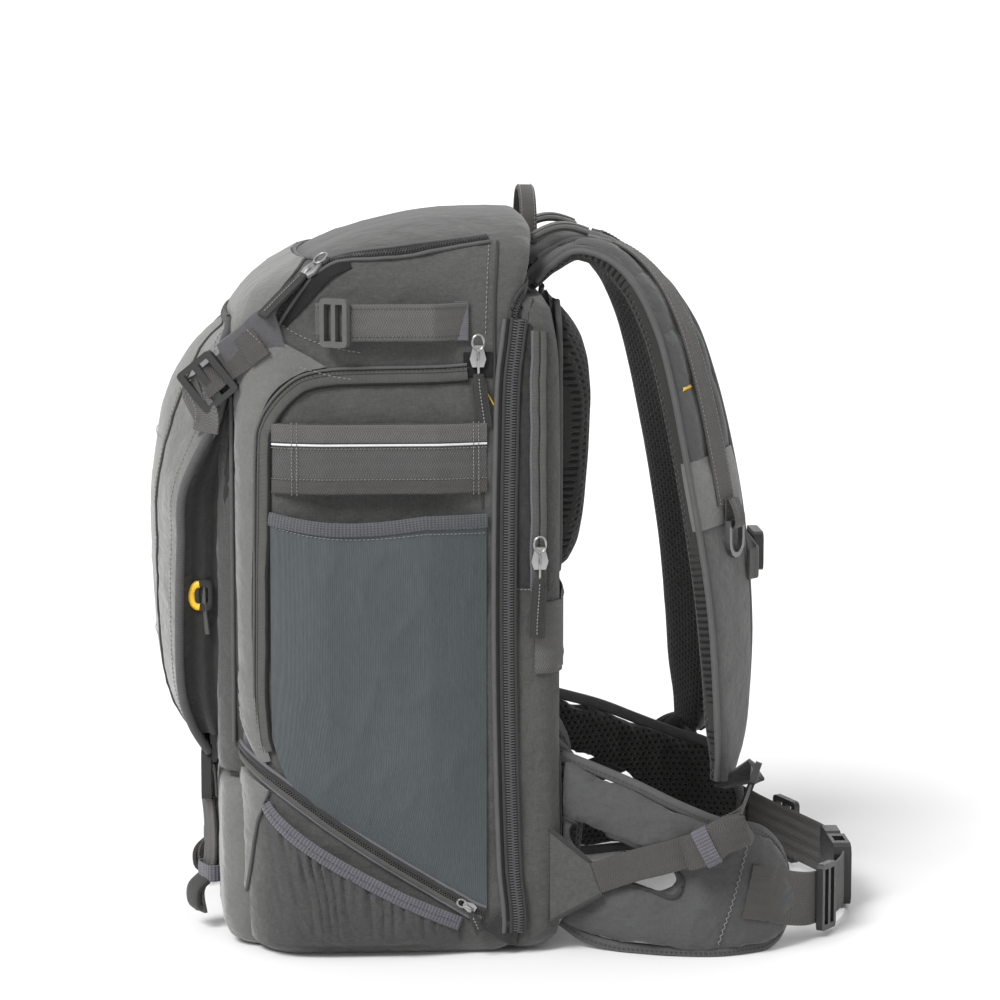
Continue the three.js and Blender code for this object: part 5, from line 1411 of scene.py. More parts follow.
def lower_pocket_at(u, v):
    p = lower_pocket_base(u, v)
    drift = noise.noise(vec(u * 5, v * 1.1, 0.7))
    wide = sin(u * 46 + 4.0 * drift + 2.2 * v)
    pleat = (1 - abs(wide)) ** 1.5 * (0.75 + 0.5 * noise.noise(vec(u * 9, 1.0, 4.0)))
    fine = sin(u * 130 + 5.0 * drift) * v ** 2.5
    slack = folds(vec(p.x + 0.6 * p.z, 0, p.z), 30, 8.8, (1.6, 1, 0.5))
    grow = clamp(v * 7) * clamp(6 * min(u, 1 - u)) * (1 - clamp((v - 0.9) / 0.1) * 0.8)
    p.y -= (-4.6 * pleat * (0.1 + 0.9 * v ** 1.2) + 1.0 * fine + 2.6 * slack * (1 - 0.4 * v)) * grow
    return p


def label_band_at(u, v):
    return side_point(mix(-82, 63, u), 323 + 48 * v, 1.8 + 9 * min(1, hump(u) * 1.5))


def tripod_at(u, z):
    return side_point(mix(-52, 51, u), z, 0.9 + 17 * min(1, hump(u) * 1.5))


def strip_of(at, v, lift=0.0, count=90):
    """A line across a side sheet at a height share, with outward normals."""
    points = [at(k / count, v) for k in range(count + 1)]
    normals = []
    for k in range(count + 1):
        along = points[min(k + 1, count)] - points[max(k - 1, 0)]
        normals.append(vec(along.y, -along.x, 0).normalized())
    return [p + n * lift for p, n in zip(points, normals)], normals


def sheet_area(at, columns, rows):
    total = 0.0
    for i in range(columns):
        for j in range(rows):
            a, b = at(i / columns, j / rows), at((i + 1) / columns, j / rows)
            c, d = at((i + 1) / columns, (j + 1) / rows), at(i / columns, (j + 1) / rows)
            total += ((c - a).cross(d - b)).length / 2
    return total * MM * MM


def declare(at, columns, rows):
    """Works out a sheet's greatest width and height and its area, and keeps none of them."""
    def run(points):
        return sum((b - a).length for a, b in zip(points, points[1:])) * MM

    wide = max(run([at(i / columns, j / 6) for i in range(columns + 1)]) for j in range(7))
    tall = max(run([at(i / 8, j / rows) for j in range(rows + 1)]) for i in range(9))
    area = sheet_area(at, columns, rows)


def build_pockets():
    pocket = sheet_mesh(side_pocket_at, 70, 80, 2)
    pockets = add_pair("stretch_pocket", pocket, "stretch", "side_pocket", "stretch_cloth")
    line, normals = strip_of(side_pocket_at, 0.985, 0.5)
    extras = add_pair("pocket_hem", ribbon(line, normals, 9.5, 2.6, 3.0), "elastic_dark", slot="elastic")
    for v in (0.955, 0.968):
        line, normals = strip_of(side_pocket_at, v, 0.35)
        extras += add_pair(
            f"hem_stitches_{int(v * 1000)}", stitches(line, normals, 3.0, 2.0, 0.26), "thread",
            slot="elastic"
        )
    declare(side_pocket_at, 70, 80)
    gathered = sheet_mesh(lower_pocket_at, 150, 48, 2)
    pockets = add_pair("gathered_pocket", gathered, "low", "lower_pocket", "charcoal_cloth")
    line, normals = strip_of(lower_pocket_base, 0.96, 0.9, 120)
    extras = add_pair("gathered_elastic", ribbon(line, normals, 10, 2.8, 3.0), "elastic", slot="elastic")
    extras += add_pair(
        "elastic_stitches", stitches([p + n * 1.3 for p, n in zip(line, normals)], normals, 3.2, 2.0, 0.3),
        "dark_thread", slot="elastic"
    )
    declare(lower_pocket_at, 150, 48)
    band = sheet_mesh(label_band_at, 70, 12, 1.8)
    band.marks = [(p.x, p.z) for p in band.points]
    bands = add_pair("label_cloth", band, "band", "label_band")
    extras = []
    for v, wide, key, name in (
        (0.86, 12.5, "light_webbing", "upper_webbing"), (0.105, 8.8, "webbing", "lower_webbing_strip"),
        (0.70, 1.5, "reflective", "reflective_line"),
    ):
        line, normals = strip_of(label_band_at, v, 0.7 if wide > 2 else 0.6)
        extras += add_pair(name, ribbon(line, normals, wide, 1.2, 5), key)
    for v in (0.74, 0.65, 0.215, 0.02):
        line, normals = strip_of(label_band_at, v, 0.5)
        extras += add_pair(
            f"band_stitches_{int(v * 1000)}", stitches(line, normals, 2.6, 1.6, 0.24), "thread"
        )
    for x in (-69, -65.5, 54, 57.6):
        u = (x + 82) / 145
        column = [label_band_at(u, k / 30) for k in range(31)]
        column = [p + vec(0, -1.6, 0) for p in column]
        extras += add_pair(
            f"band_column_{int(x * 10) + 900}", stitches(column, vec(0, -1, 0), 2.4, 1.6, 0.3), "thread"
        )
    declare(label_band_at, 70, 12)
    path, normals = strip_of(tripod_at, 439)
    add_pair("tripod_webbing", ribbon(path, normals, 25, 1.8, 6), "light_webbing", "tripod_strap")
    rows = [
        stitches([p + n * 0.95 + vec(0, 0, s) for p, n in zip(path, normals)], normals, 2.8, 1.8, 0.22)
        for s in (-9.5, 9.5)
    ]
    add_pair("tripod_stitches", join(*rows), "dark_thread")
    end = smooth_path([side_point(46.5, z, 3.4) for z in (452, 439, 426)], 2)
    add_pair("tripod_end_tab", ribbon(end, vec(0.1, -1, 0).normalized(), 9.5, 3.2, 4), "lilac")


class BACKPACK_OT_pockets(bpy.types.Operator):
    """Hangs the stretch pockets, the gathered lower pockets and the bands on both sides"""

    bl_idname = "backpack.pockets"
    bl_label = "Side pockets"

    def execute(self, context):
        build_pockets()
        return {"FINISHED"}


def hoop_round(centre, wide, high, square):
    """A closed loop round a place, with half axes wide and high."""
    turns = [TAU * k / 24 for k in range(25)]
    return [centre + wide * power(cos(a), square) + high * power(sin(a), 0.7) for a in turns]


# Pads and simulated padding

def evaluated_shape(obj):
    graph = bpy.context.evaluated_depsgraph_get()
    mesh = bpy.data.meshes.new_from_object(obj.evaluated_get(graph))
    shape = Shape([v.co / MM for v in mesh.vertices], [tuple(p.vertices) for p in mesh.polygons])
    bpy.data.meshes.remove(mesh)
    return shape


def swollen(node, cap, shrink=1.6):
    """A CAD pad remeshed, blown up a little by cloth simulation and smoothed, as a shape."""
    obj = bpy.data.objects.new(node + "_work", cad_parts[node].data.copy())
    bpy.context.scene.collection.objects.link(obj)
    remesh = obj.modifiers.new("remesh", "REMESH")
    remesh.mode = "VOXEL"
    remesh.voxel_size = 4 * MM
    start = ruffle(evaluated_shape(obj), lambda p, n: -shrink)
    obj.modifiers.clear()
    mesh = bpy.data.meshes.new(node + "_work")
    mesh.from_pydata([p * MM for p in start.points], [], start.faces)
    obj.data = mesh
    settings = obj.modifiers.new("cloth", "CLOTH").settings
    settings.use_pressure = True
    settings.uniform_pressure_force = 4
    settings.effector_weights.gravity = 0
    for k in range(1, 21):
        bpy.context.scene.frame_set(k)
    end = evaluated_shape(obj)
    obj.modifiers.clear()
    bpy.context.scene.frame_set(1)
    capped = []
    for a, b in zip(start.points, end.points):
        move = b - a
        capped.append(a + move * min(1.0, cap / max(move.length, 0.001)))
    obj.data.vertices.foreach_set("co", [c * MM for p in capped for c in p])
    obj.data.update()
    smooth = obj.modifiers.new("smooth", "SMOOTH")
    smooth.iterations = 2
    obj.modifiers.new("finer", "SUBSURF").levels = 1
    shape = evaluated_shape(obj)
    bpy.data.objects.remove(obj)
    return shape


def build_pads():
    for node in ("back_pad", "lumbar_pad"):
        shape = swollen(node, 4)
        shape.marks = [(p.z, p.y) for p in shape.points]
        add_piece(node + "_mesh", shape, "mesh", [node], "air_mesh")
        SKINS[node] = surface(shape)
        low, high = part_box(node)
        foot, top = low.z / MM, high.z / MM
        for sign in (-1, 1):
            edge = []
            for k in range(60):
                z = mix(foot + 4, top - 4, k / 59)
                half = column_at(PAD_ROWS, (z - foot) / (top - foot))[1] * (high.y / MM)
                edge.append(vec(BACK_DEPTH + 1.4, sign * (half + 0.4), z))
            tag = "right" if sign < 0 else "left"
            add_piece(f"{node}_binding_{tag}", tube(edge, 2.2), "binding")
    rear, half = rear_panel_at(222)
    radius = REAR_PANEL_CORNER + 0.6 + 0.9
    x, y = rear - REAR_PANEL_CORNER, half - REAR_PANEL_CORNER
    turns = [radians(degrees) for degrees in (90, 75, 60, 45, 30, 15, 0)]
    points = [vec(x + radius * cos(a), -(y + radius * sin(a)), 222) for a in turns]
    points += [vec(rear + lift, -share * half, 222) for lift, share in ((3.4, 0.7), (6, 0.5), (6, 0.2))]
    points += [vec(p.x, -p.y, p.z) for p in reversed(points)]
    path = smooth_path(points, 3.0)
    add_piece("trolley_webbing", strip(path, UP, 50, 1.8, 8), "light_webbing", ["trolley_strap"])
    rows = []
    for z in (-21, 21):
        line = [p + vec(1.0, 0, z) for p in path[6:-6]]
        rows.append(stitches(line, TO_REAR, 3.0, 2.0, 0.28))
    add_piece("trolley_stitches", join(*rows), "thread")
    shares = [k / 10 - 1 for k in range(21)]
    top = smooth_path([(97.7, s * 48, 486 + 38 * sqrt(max(1 - abs(s) ** 2.6, 0))) for s in shares])
    add_piece("handle_webbing", strip(top, TO_REAR, 12, 4, 3.2), "webbing", ["top_handle"])
    for x in (-4.4, 4.4):
        frames = frames_along(top, TO_REAR)
        line = [f.at(x, 2.0 if f.normal.z > 0 else -2.0) for f in frames]
        up = [f.normal if f.normal.z > 0 else -f.normal for f in frames]
        add_piece(
            f"handle_stitches_{'near' if x < 0 else 'far'}", stitches(line, up, 3.0, 2.0, 0.28), "thread"
        )


class BACKPACK_OT_pads(bpy.types.Operator):
    """Makes the back and lumbar pads, the trolley strap and the handle"""

    bl_idname = "backpack.pads"
    bl_label = "Back pads"

    def execute(self, context):
        build_pads()
        return {"FINISHED"}


PAD_ROWS = [
    (0.0, 0.25, 0.82), (0.05, 0.55, 0.92), (0.25, 0.8, 0.98), (0.6, 1.0, 1.0), (0.8, 0.9, 0.97),
    (0.92, 0.55, 0.88), (0.98, 0.2, 0.72), (1.0, 0.08, 0.62),
]

# Shoulder harness

STRAP_REACH, STRAP_TOP, STRAP_SPREAD, STRAP_WIDTH, STRAP_THICK = 122, 484, 105, 72, 17
# out, up, spread, turn in degrees, width, thickness
STRAP_ROWS = [
    (-0.116, 0.957, 0.6, 0, 0.86, 0.7), (0.0, 0.982, 0.64, 3, 0.88, 0.8), (0.16, 1.0, 0.7, 8, 0.92, 0.9),
    (0.36, 0.985, 0.77, 14, 0.96, 1.0), (0.53, 0.946, 0.83, 22, 1.0, 1.0),
    (0.66, 0.886, 0.87, 28, 1.0, 1.0),
    (0.755, 0.81, 0.89, 31, 1.0, 1.0), (0.835, 0.722, 0.9, 33, 1.0, 1.0), (0.91, 0.62, 0.91, 33, 1.0, 1.0),
    (0.965, 0.51, 0.93, 31, 0.98, 1.0), (0.99, 0.4, 0.96, 28, 0.95, 0.95),
    (0.99, 0.305, 0.99, 24, 0.86, 0.9), (0.955, 0.235, 1.02, 18, 0.6, 0.75),
]
STRAP_SEAMS = [486, 464, 428, 391, 342, 293]
# the last frame of a strap, and where the webbing lies as a share of the strap's thickness
LAST_FRAME, OUTER_FACE = 149, 0.52
WING_SPREAD, WING_REACH, WING_HEIGHT = 158, 160, 136
LOWER_ROWS = [
    (0.2, 0.962, 0.4), (0.41, 0.992, 0.47), (0.64, 1.052, 0.54), (0.83, 1.08, 0.61), (0.98, 1.075, 0.72),
    (1.06, 0.93, 0.81)
]


def strap_frames(count):
    rows = smooth_rows(STRAP_ROWS, count)
    centres = [vec(BACK_DEPTH + r[0] * STRAP_REACH, -r[2] * STRAP_SPREAD, r[1] * STRAP_TOP) for r in rows]
    across = [vec(sin(radians(r[3])), cos(radians(r[3])), 0) for r in rows]
    frames = frames_along(centres, across)
    for one, row in zip(frames, rows):
        one.width, one.thick = row[4] * STRAP_WIDTH, row[5] * STRAP_THICK
        if one.normal.x + one.normal.z < 0:
            one.normal = -one.normal
    return frames


def strap_frame_at(height):
    return min(strap_frames(81)[30:], key=lambda f: abs(f.centre.z - height))


def lower_frames(count):
    rows = smooth_rows(LOWER_ROWS, count)
    centres = [vec(BACK_DEPTH + r[0] * STRAP_REACH, -r[1] * WING_SPREAD, r[2] * WING_HEIGHT) for r in rows]
    return frames_along(centres, [vec(0.35, 0, 1)] * count)


def strap_lock_frame():
    last = lower_frames(30)[-1]
    return Frame(last.centre + last.along * (22 / 2 + 0.6), last.along, last.side, last.normal)


def quilt(z, seams):
    """Thickness share that dips at the seams and crowns between them."""
    nearest = min(abs(z - s) for s in seams)
    return 0.78 + 0.22 * (1 - exp(-(nearest / 8.0) ** 1.6))


def build_straps():
    frames = strap_frames(LAST_FRAME + 1)
    rings, marks, run = [], [], 0.0
    for i, one in enumerate(frames):
        run += (one.centre - frames[i - 1].centre).length if i else 0
        w, t = one.width / 2 - 1.0, one.thick / 2
        share = quilt(one.centre.z, STRAP_SEAMS if i > 18 else [900])
        lining = clamp((i - 24) / 20) * clamp((LAST_FRAME - i) / 16)
        ring_points = []
        for k in range(34):
            angle = TAU * k / 34
            c, s = cos(angle), sin(angle)
            side = power(c, 0.55) * w
            face = power(s, 0.62) * t * 0.97
            if s > 0:
                face *= share
            else:
                face *= 1.0 + 0.5 * lining
            ruck = 0.5 * folds(one.centre + one.side * side, 16, 3.7 if s > 0 else 6.2)
            ring_points.append(one.at(side, face + ruck * abs(s)))
            marks.append((run, side))
        rings.append(ring_points)
    lock = strap_lock_frame()
    head = lock.centre + lock.along * (11 + 0.6)
    last = frames[-1]
    turn = -1 if last.side.dot(lock.side) < 0 else 1
    tab_points = [last.centre + last.along * 5, head + lock.along * 7, head]
    tab_sides = [last.side.lerp(lock.side * turn, t) for t in (0.15, 0.85, 1)]
    body = loft(rings)
    body.marks = marks + [(0.0, 0.0)] * (len(body.points) - len(marks))
    tab = strip([last.centre - last.along * 8] + tab_points, [last.side] + tab_sides, 20, 3.6)

    centres = [f.centre for f in frames]

    def cloth_of(centre, normal):
        place = vec(centre.x, -abs(centre.y), centre.z)
        near = min(range(0, len(centres), 3), key=lambda i: (centres[i] - place).length_squared)
        offset = (place - centres[near]).dot(frames[near].normal)
        return 1 if offset < mix(-0.5, 3.4, clamp((near - 24) / 40)) * clamp((LAST_FRAME - near) / 30) else 0

    shape = join(body, tab)
    for piece in add_pair(
        "strap_padding", shape, ["charcoal", "mesh"], "shoulder_strap", "charcoal_cloth", cloth_of,
    ):
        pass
    held = [f for f in frames[40:] if 293 < f.centre.z < 342]

    def sleeve_at(u, v):
        f = held[round(v * (len(held) - 1))]
        angle = mix(-0.04, 1.04, u) * pi
        c, s = cos(angle), sin(angle)
        side = power(c, 0.55) * (f.width / 2 - 0.4)
        face = power(s, 0.62) * f.thick / 2 * 0.97 * quilt(f.centre.z, STRAP_SEAMS)
        return f.at(side, face + 1.0 + 0.4 * folds(f.at(side, face), 12, 5.5))

    sleeve = sheet_mesh(sleeve_at, 48, len(held) - 1, 1.2)
    add_pair("strap_sleeve", sleeve, "pale", slot="grey_cloth")
    for sign, name in ((-1, "strap_piping_outer"), (1, "strap_piping_inner")):
        edge = [
            f.at(sign * (f.width / 2 - 1.4), mix(-0.6, 3.6, clamp((i - 20) / 40)) * clamp((145 - i) / 30))
            for i, f in enumerate(frames[4:])
        ]
        add_pair(name, tube(edge, 2.3), "binding")
    bounds = []
    for height in STRAP_SEAMS[:5]:
        bounds.append(min(range(16, LAST_FRAME + 1), key=lambda j: abs(frames[j].centre.z - height)))
    for number, (first, last_one) in enumerate(zip(bounds, bounds[1:])):
        for sign, half in ((-1, "outer"), (1, "inner")):
            def cushion_at(u, v):
                f = frames[round(mix(first, last_one, v))]
                side = mix(f.width / 2 - 4.4, f.width * 0.2, u)
                t = f.thick / 2 * 0.97 * (1 - (side / (f.width / 2)) ** 3.4) ** 0.5 * 0.8
                crown = 3.6 * hump(clamp(u, 0.02, 0.98)) ** 0.55 * hump(clamp(v, 0.01, 0.99)) ** 0.35
                ruck = 0.5 * folds(f.at(sign * side, t), 9, 3.1 + number)
                return f.at(sign * side, t - 0.8 + crown + ruck)

            count = last_one - first
            shape = sheet_mesh(cushion_at, 14, count, 1.2)
            add_pair(f"strap_cushion_{half}_{number + 1}", shape, "wing", slot="charcoal_cloth")
    seams = []
    for height in STRAP_SEAMS:
        one = min(frames[16:], key=lambda f: abs(f.centre.z - height))
        place = frames.index(one)
        arc = []
        for k in range(25):
            s = 2 * k / 24 - 1
            f = frames[clamp(place + round(2.5 * (1 - s * s)), 0, LAST_FRAME)]
            t = f.thick / 2 * 0.97 * 0.78 * (1 - abs(s * 0.94) ** 3.4) ** 0.5
            arc.append(f.at(s * 0.94 * (f.width / 2 - 1), t + 0.3))
        seams.append(stitches(smooth_path(arc, 1.0), one.normal, 2.8, 1.9, 0.28))
    add_pair("strap_seams", join(*seams), "thread")
    one = min(frames[16:], key=lambda f: abs(f.centre.z - 391))
    tack = stitches(
        smooth_path([one.at(s, one.thick / 2 * 0.9) for s in (-26, -20, -14)], 0.7), one.normal, 0.9, 3.6,
        0.34, 3.0,
    )
    add_pair("strap_bartack", tack, "accent")

    coarse = strap_frames(109)
    outer = coarse[25:72]
    path = [f.at(0, f.thick * OUTER_FACE + 0.6 + 0.9) for f in outer]
    add_pair("strap_tape", strip(path, [f.side for f in outer], 25, 1.8, 6), "webbing", "strap_webbing")
    facing = [f.normal for f in outer]
    rows = [
        stitches([f.at(s, f.thick * OUTER_FACE + 2.3) for f in outer], facing, 3.0, 2.0, 0.26)
        for s in (-10.2, 10.2)
    ]
    add_pair("strap_tape_stitches", join(*rows), "thread")

    landing = strap_frames(40)[7]
    start = vec(81 * 1.18 + 2.4, -0.67 * STRAP_SPREAD, LID_EDGE + 7)
    end = landing.at(0, landing.thick * OUTER_FACE + 0.3 + 2.5)
    lift = [start.lerp(end, k / 24) + vec(0, 0, 6) * hump(k / 24) for k in range(25)]
    add_pair("lifter_pad", strip(lift, TO_SIDE, 31, 5, 3.4), "charcoal", "load_lifter")
    top = [p + vec(0, 0, 3.0) for p in lift]
    add_pair("lifter_webbing", strip(top, TO_SIDE, 20, 1.6, 6), "light_webbing")

    frame_here = strap_frame_at(291)
    side = vec(frame_here.side.x, frame_here.side.y, 0).normalized()
    out = vec(side.y, -side.x, 0)
    wire = 3.6
    centre = frame_here.centre + out * (
        frame_here.thick * OUTER_FACE + wire / 2 + 0.5 + 1.8 + 1.2
    ) + side * (frame_here.width * 0.03)
    r = wire / 2 * sqrt(2) + 0.5 + 0.9
    loop = [
        centre + out * (1.8 * 1.35 - r) + vec(0, 0, r * 4.2), centre + out * (r * 0.75) + vec(0, 0, r * 1.7)
    ]
    loop += [centre + out * (r * cos(pi * k / 8)) + vec(0, 0, -r * sin(pi * k / 8)) for k in range(9)]
    loop += [centre - out * r + vec(0, 0, r * 2), centre - out * r + vec(0, 0, r * 4.2)]
    loop = smooth_path(loop, 1.0)
    add_pair("ring_webbing", strip(loop, side, 15.3, 1.44, 6), "webbing", "ring_loop")

    def on(share):
        f = strap_frame_at(262)
        p = f.at(f.width * share, f.thick * OUTER_FACE + 0.6 + 1.8)
        return vec(p.x, p.y, 262)

    first, edge = on(0.3), on(0.52)
    middle = vec(edge.x + 2, 0, 262)
    right = [first, on(0.41), edge, edge.lerp(middle, 0.35), edge.lerp(middle, 0.7)]
    path = smooth_path(right + [middle] + [vec(p.x, -p.y, p.z) for p in reversed(right)], 3.0)
    add_piece("sternum_webbing", strip(path, UP, 22, 1.8, 6), "webbing", ["sternum_strap"])


class BACKPACK_OT_straps(bpy.types.Operator):
    """Makes the padded shoulder straps with their mesh lining, webbing and rings"""

    bl_idname = "backpack.straps"
    bl_label = "Shoulder straps"

    def execute(self, context):
        build_straps()
        return {"FINISHED"}


# Hip belt

WING_ROWS = [
    (0.0165, 0.79, 1.0, 0.13), (0.13, 0.84, 0.955, 0.05), (0.32, 0.925, 0.875, 0.012),
    (0.5, 0.985, 0.78, 0.006),
    (0.69, 1.0, 0.69, 0.006), (0.85, 0.937, 0.64, 0.016), (0.94, 0.873, 0.54, 0.05),
    (0.985, 0.83, 0.42, 0.12), (1.0, 0.81, 0.34, 0.19),
]
SLOT_OUTLINE = [
    (0.045, 0.665), (0.27, 0.56), (0.44, 0.475), (0.5, 0.4), (0.465, 0.325), (0.36, 0.36), (0.12, 0.485),
    (0.045, 0.57)
]
BELT_REACH, BELT_HEIGHT = 214, 25
BELT_ROWS = [
    (0.6, 1.022, 1.84), (0.68, 0.965, 1.66), (0.75, 0.885, 1.42), (0.825, 0.765, 1.2), (0.885, 0.63, 1.1),
    (0.95, 0.45, 1.02), (0.99, 0.3, 1.0), (1.0, 0.2, 1.0),
]


def belt_path(count):
    return [
        vec(BACK_DEPTH + r[0] * BELT_REACH, -r[1] * WING_SPREAD, r[2] * BELT_HEIGHT)
        for r in smooth_rows(BELT_ROWS, count)
    ]


def build_belt():
    wing = swollen("hip_wing_right", 5, 1.4)

    def crumple(p, n):
        return (2.4 * folds(p, 40, 12.2, (1, 1, 0.8)) + 0.9 * folds(p, 14, 5.9)) * (1 if n.y < 0 else 0.4)

    wing = ruffle(wing, crumple)
    wing.points = [vec(p.x, p.y, max(p.z, 0.3)) for p in wing.points]
    wing.marks = [(p.x, p.z) for p in wing.points]
    SKINS["wing"] = surface(wing)

    def cloth_of(centre, normal):
        return 0 if normal.y * copysign(1, centre.y) > -0.35 else 1

    for piece in add_pair("wing_padding", wing, ["wing", "mesh"], "hip_wing", "charcoal_cloth", cloth_of):
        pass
    rows = smooth_rows(WING_ROWS, 80)
    centres = [vec(BACK_DEPTH + r[0] * WING_REACH, -r[1] * WING_SPREAD, 0) for r in rows]
    frames = frames_along(centres, UP)
    top = [f.centre + vec(0, 0, r[2] * WING_HEIGHT - 0.8) for f, r in zip(frames, rows)]
    foot = [f.centre + vec(0, 0, max(r[3] * WING_HEIGHT, 2.6)) for f, r in zip(frames, rows)]
    rim = smooth_path(top + list(reversed(foot))[1:], 2.0)
    out = [min(frames, key=lambda f: (f.centre.xy - p.xy).length_squared).normal for p in rim]
    rim_shape = ribbon(rim, out, 8.5, 5.0, 2.4)
    rim_shape.points = [vec(p.x, p.y, max(p.z, 0.2)) for p in rim_shape.points]
    add_pair("wing_binding", rim_shape, "binding")
    outer = [n if n.y < 0 else -n for n in out]
    sewn = [p + n * 2.7 for p, n in zip(rim, outer)]
    add_pair("wing_edge_stitches", stitches(sewn, outer, 3.4, 2.2, 0.3), "dark_thread")
    zig, zig_normals = project(
        SKINS["wing"], smooth_path([(244, 0, 88), (240, 0, 70), (232, 0, 40), (222, 0, 9)], 1.0), TO_SIDE,
        0.4,
    )
    add_pair("wing_zigzag", stitches(zig, zig_normals, 2.2, 3.2, 0.3, 2.4), "thread")

    slot = [vec(BACK_DEPTH + o * WING_REACH, 0, u * WING_HEIGHT) for o, u in SLOT_OUTLINE]
    slot = smooth_path(slot + slot[:1], 1.5)
    wide = [p + (p - sum(slot, Vector()) / len(slot)).normalized() * 4.0 for p in slot]
    ring_path, normals = project(SKINS["wing"], wide, TO_SIDE, 0.6)
    add_pair("slot_edge", tube(ring_path, 1.5), "dark_binding")

    path = belt_path(70)
    kept = [p for p in path if p.y < -37.6 - 3.8]
    kept.append(vec(BACK_DEPTH + BELT_REACH, -37.6, BELT_HEIGHT))
    kept = smooth_path(kept[::3] + kept[-1:], 3.0)
    add_pair("belt_tape", strip(kept, UP, 38, 2.16, 7), "webbing", "belt_webbing")
    lower = lower_frames(60)
    add_pair(
        "lower_tape", strip([f.centre for f in lower], [f.side for f in lower], 22, 1.8, 6), "webbing",
        "lower_webbing", "webbing",
    )
    held = lower_frames(77)[36:60]
    out = [f.normal if f.normal.y < 0 else -f.normal for f in held]
    base = [f.centre + n * 9.9 for f, n in zip(held, out)]
    route = [p + n * 2.9 for p, n in zip(base, out)] + [base[-1] + held[-1].along * 2.2 + out[-1] * 1.4]
    route += base[::-1] + [base[0] - held[0].along * 2.2 - out[0] * 1.4]
    route += [p - n * 2.9 for p, n in zip(base, out)]
    sides = [f.side for f in held] + [held[-1].side] + [
        f.side for f in reversed(held)
    ] + [held[0].side] + [f.side for f in held]
    add_pair("bundle_webbing", strip(route, sides, 24, 1.9, 6), "webbing", "webbing_bundle")
    hoop = hoop_round(base[8], held[8].side * 13, out[8] * 5.4, 0.6)
    add_pair("bundle_keeper", strip(hoop, held[8].along, 11, 1.5, 5), "elastic", slot="elastic")

    first = lower_frames(14)[0]
    tip = first.centre - first.along * 0.6 + vec(0, 1.2, 0)
    inset = REAR_PANEL_CORNER - 7
    drop = REAR_PANEL_CORNER - sqrt(REAR_PANEL_CORNER ** 2 - inset ** 2)
    root = vec(BACK_DEPTH - 7, drop - rear_panel_at(tip.z)[1] - 0.6, tip.z)
    rise = vec(0, 0, 34)
    corners = [root - rise, root + rise, tip + first.side * 13, tip - first.side * 13]

    def tab_at(u, v):
        a = corners[0].lerp(corners[1], v)
        b = corners[3].lerp(corners[2], v)
        crease = 0.7 * folds(a.lerp(b, u), 14, 2.7) * hump(u)
        return a.lerp(b, u) + vec(0, -1.0 - crease, 0)

    add_pair("anchor_cloth", sheet_mesh(tab_at, 24, 24, 2.4), "charcoal", "anchor_tab", "charcoal_cloth")
    for v, name in ((0.02, "anchor_lower_edge"), (0.98, "anchor_upper_edge")):
        edge = [tab_at(k / 20, v) + vec(0, 0.8, 0) for k in range(21)]
        add_pair(name, tube(edge, 1.7), "dark_binding")


class BACKPACK_OT_belt(bpy.types.Operator):
    """Makes the hip wings, the belt webbing and the spare webbing's bundle"""

    bl_idname = "backpack.belt"
    bl_label = "Hip belt"

    def execute(self, context):
        build_belt()
        return {"FINISHED"}


# Flap straps and hard pieces

COMPRESSION_ROWS = [
    (0.7, 0.962, 0.832, 1.0), (0.82, 0.945, 0.824, 0.88), (0.95, 0.9, 0.813, 0.66), (1.06, 0.86, 0.8, 0.58)
]
FRONT_STRAP_ROWS = [(1.18, 0.8), (1.1, 0.66), (1.08, 0.5), (1.2, 0.36), (1.6, 0.24), (1.5, 0.1)]


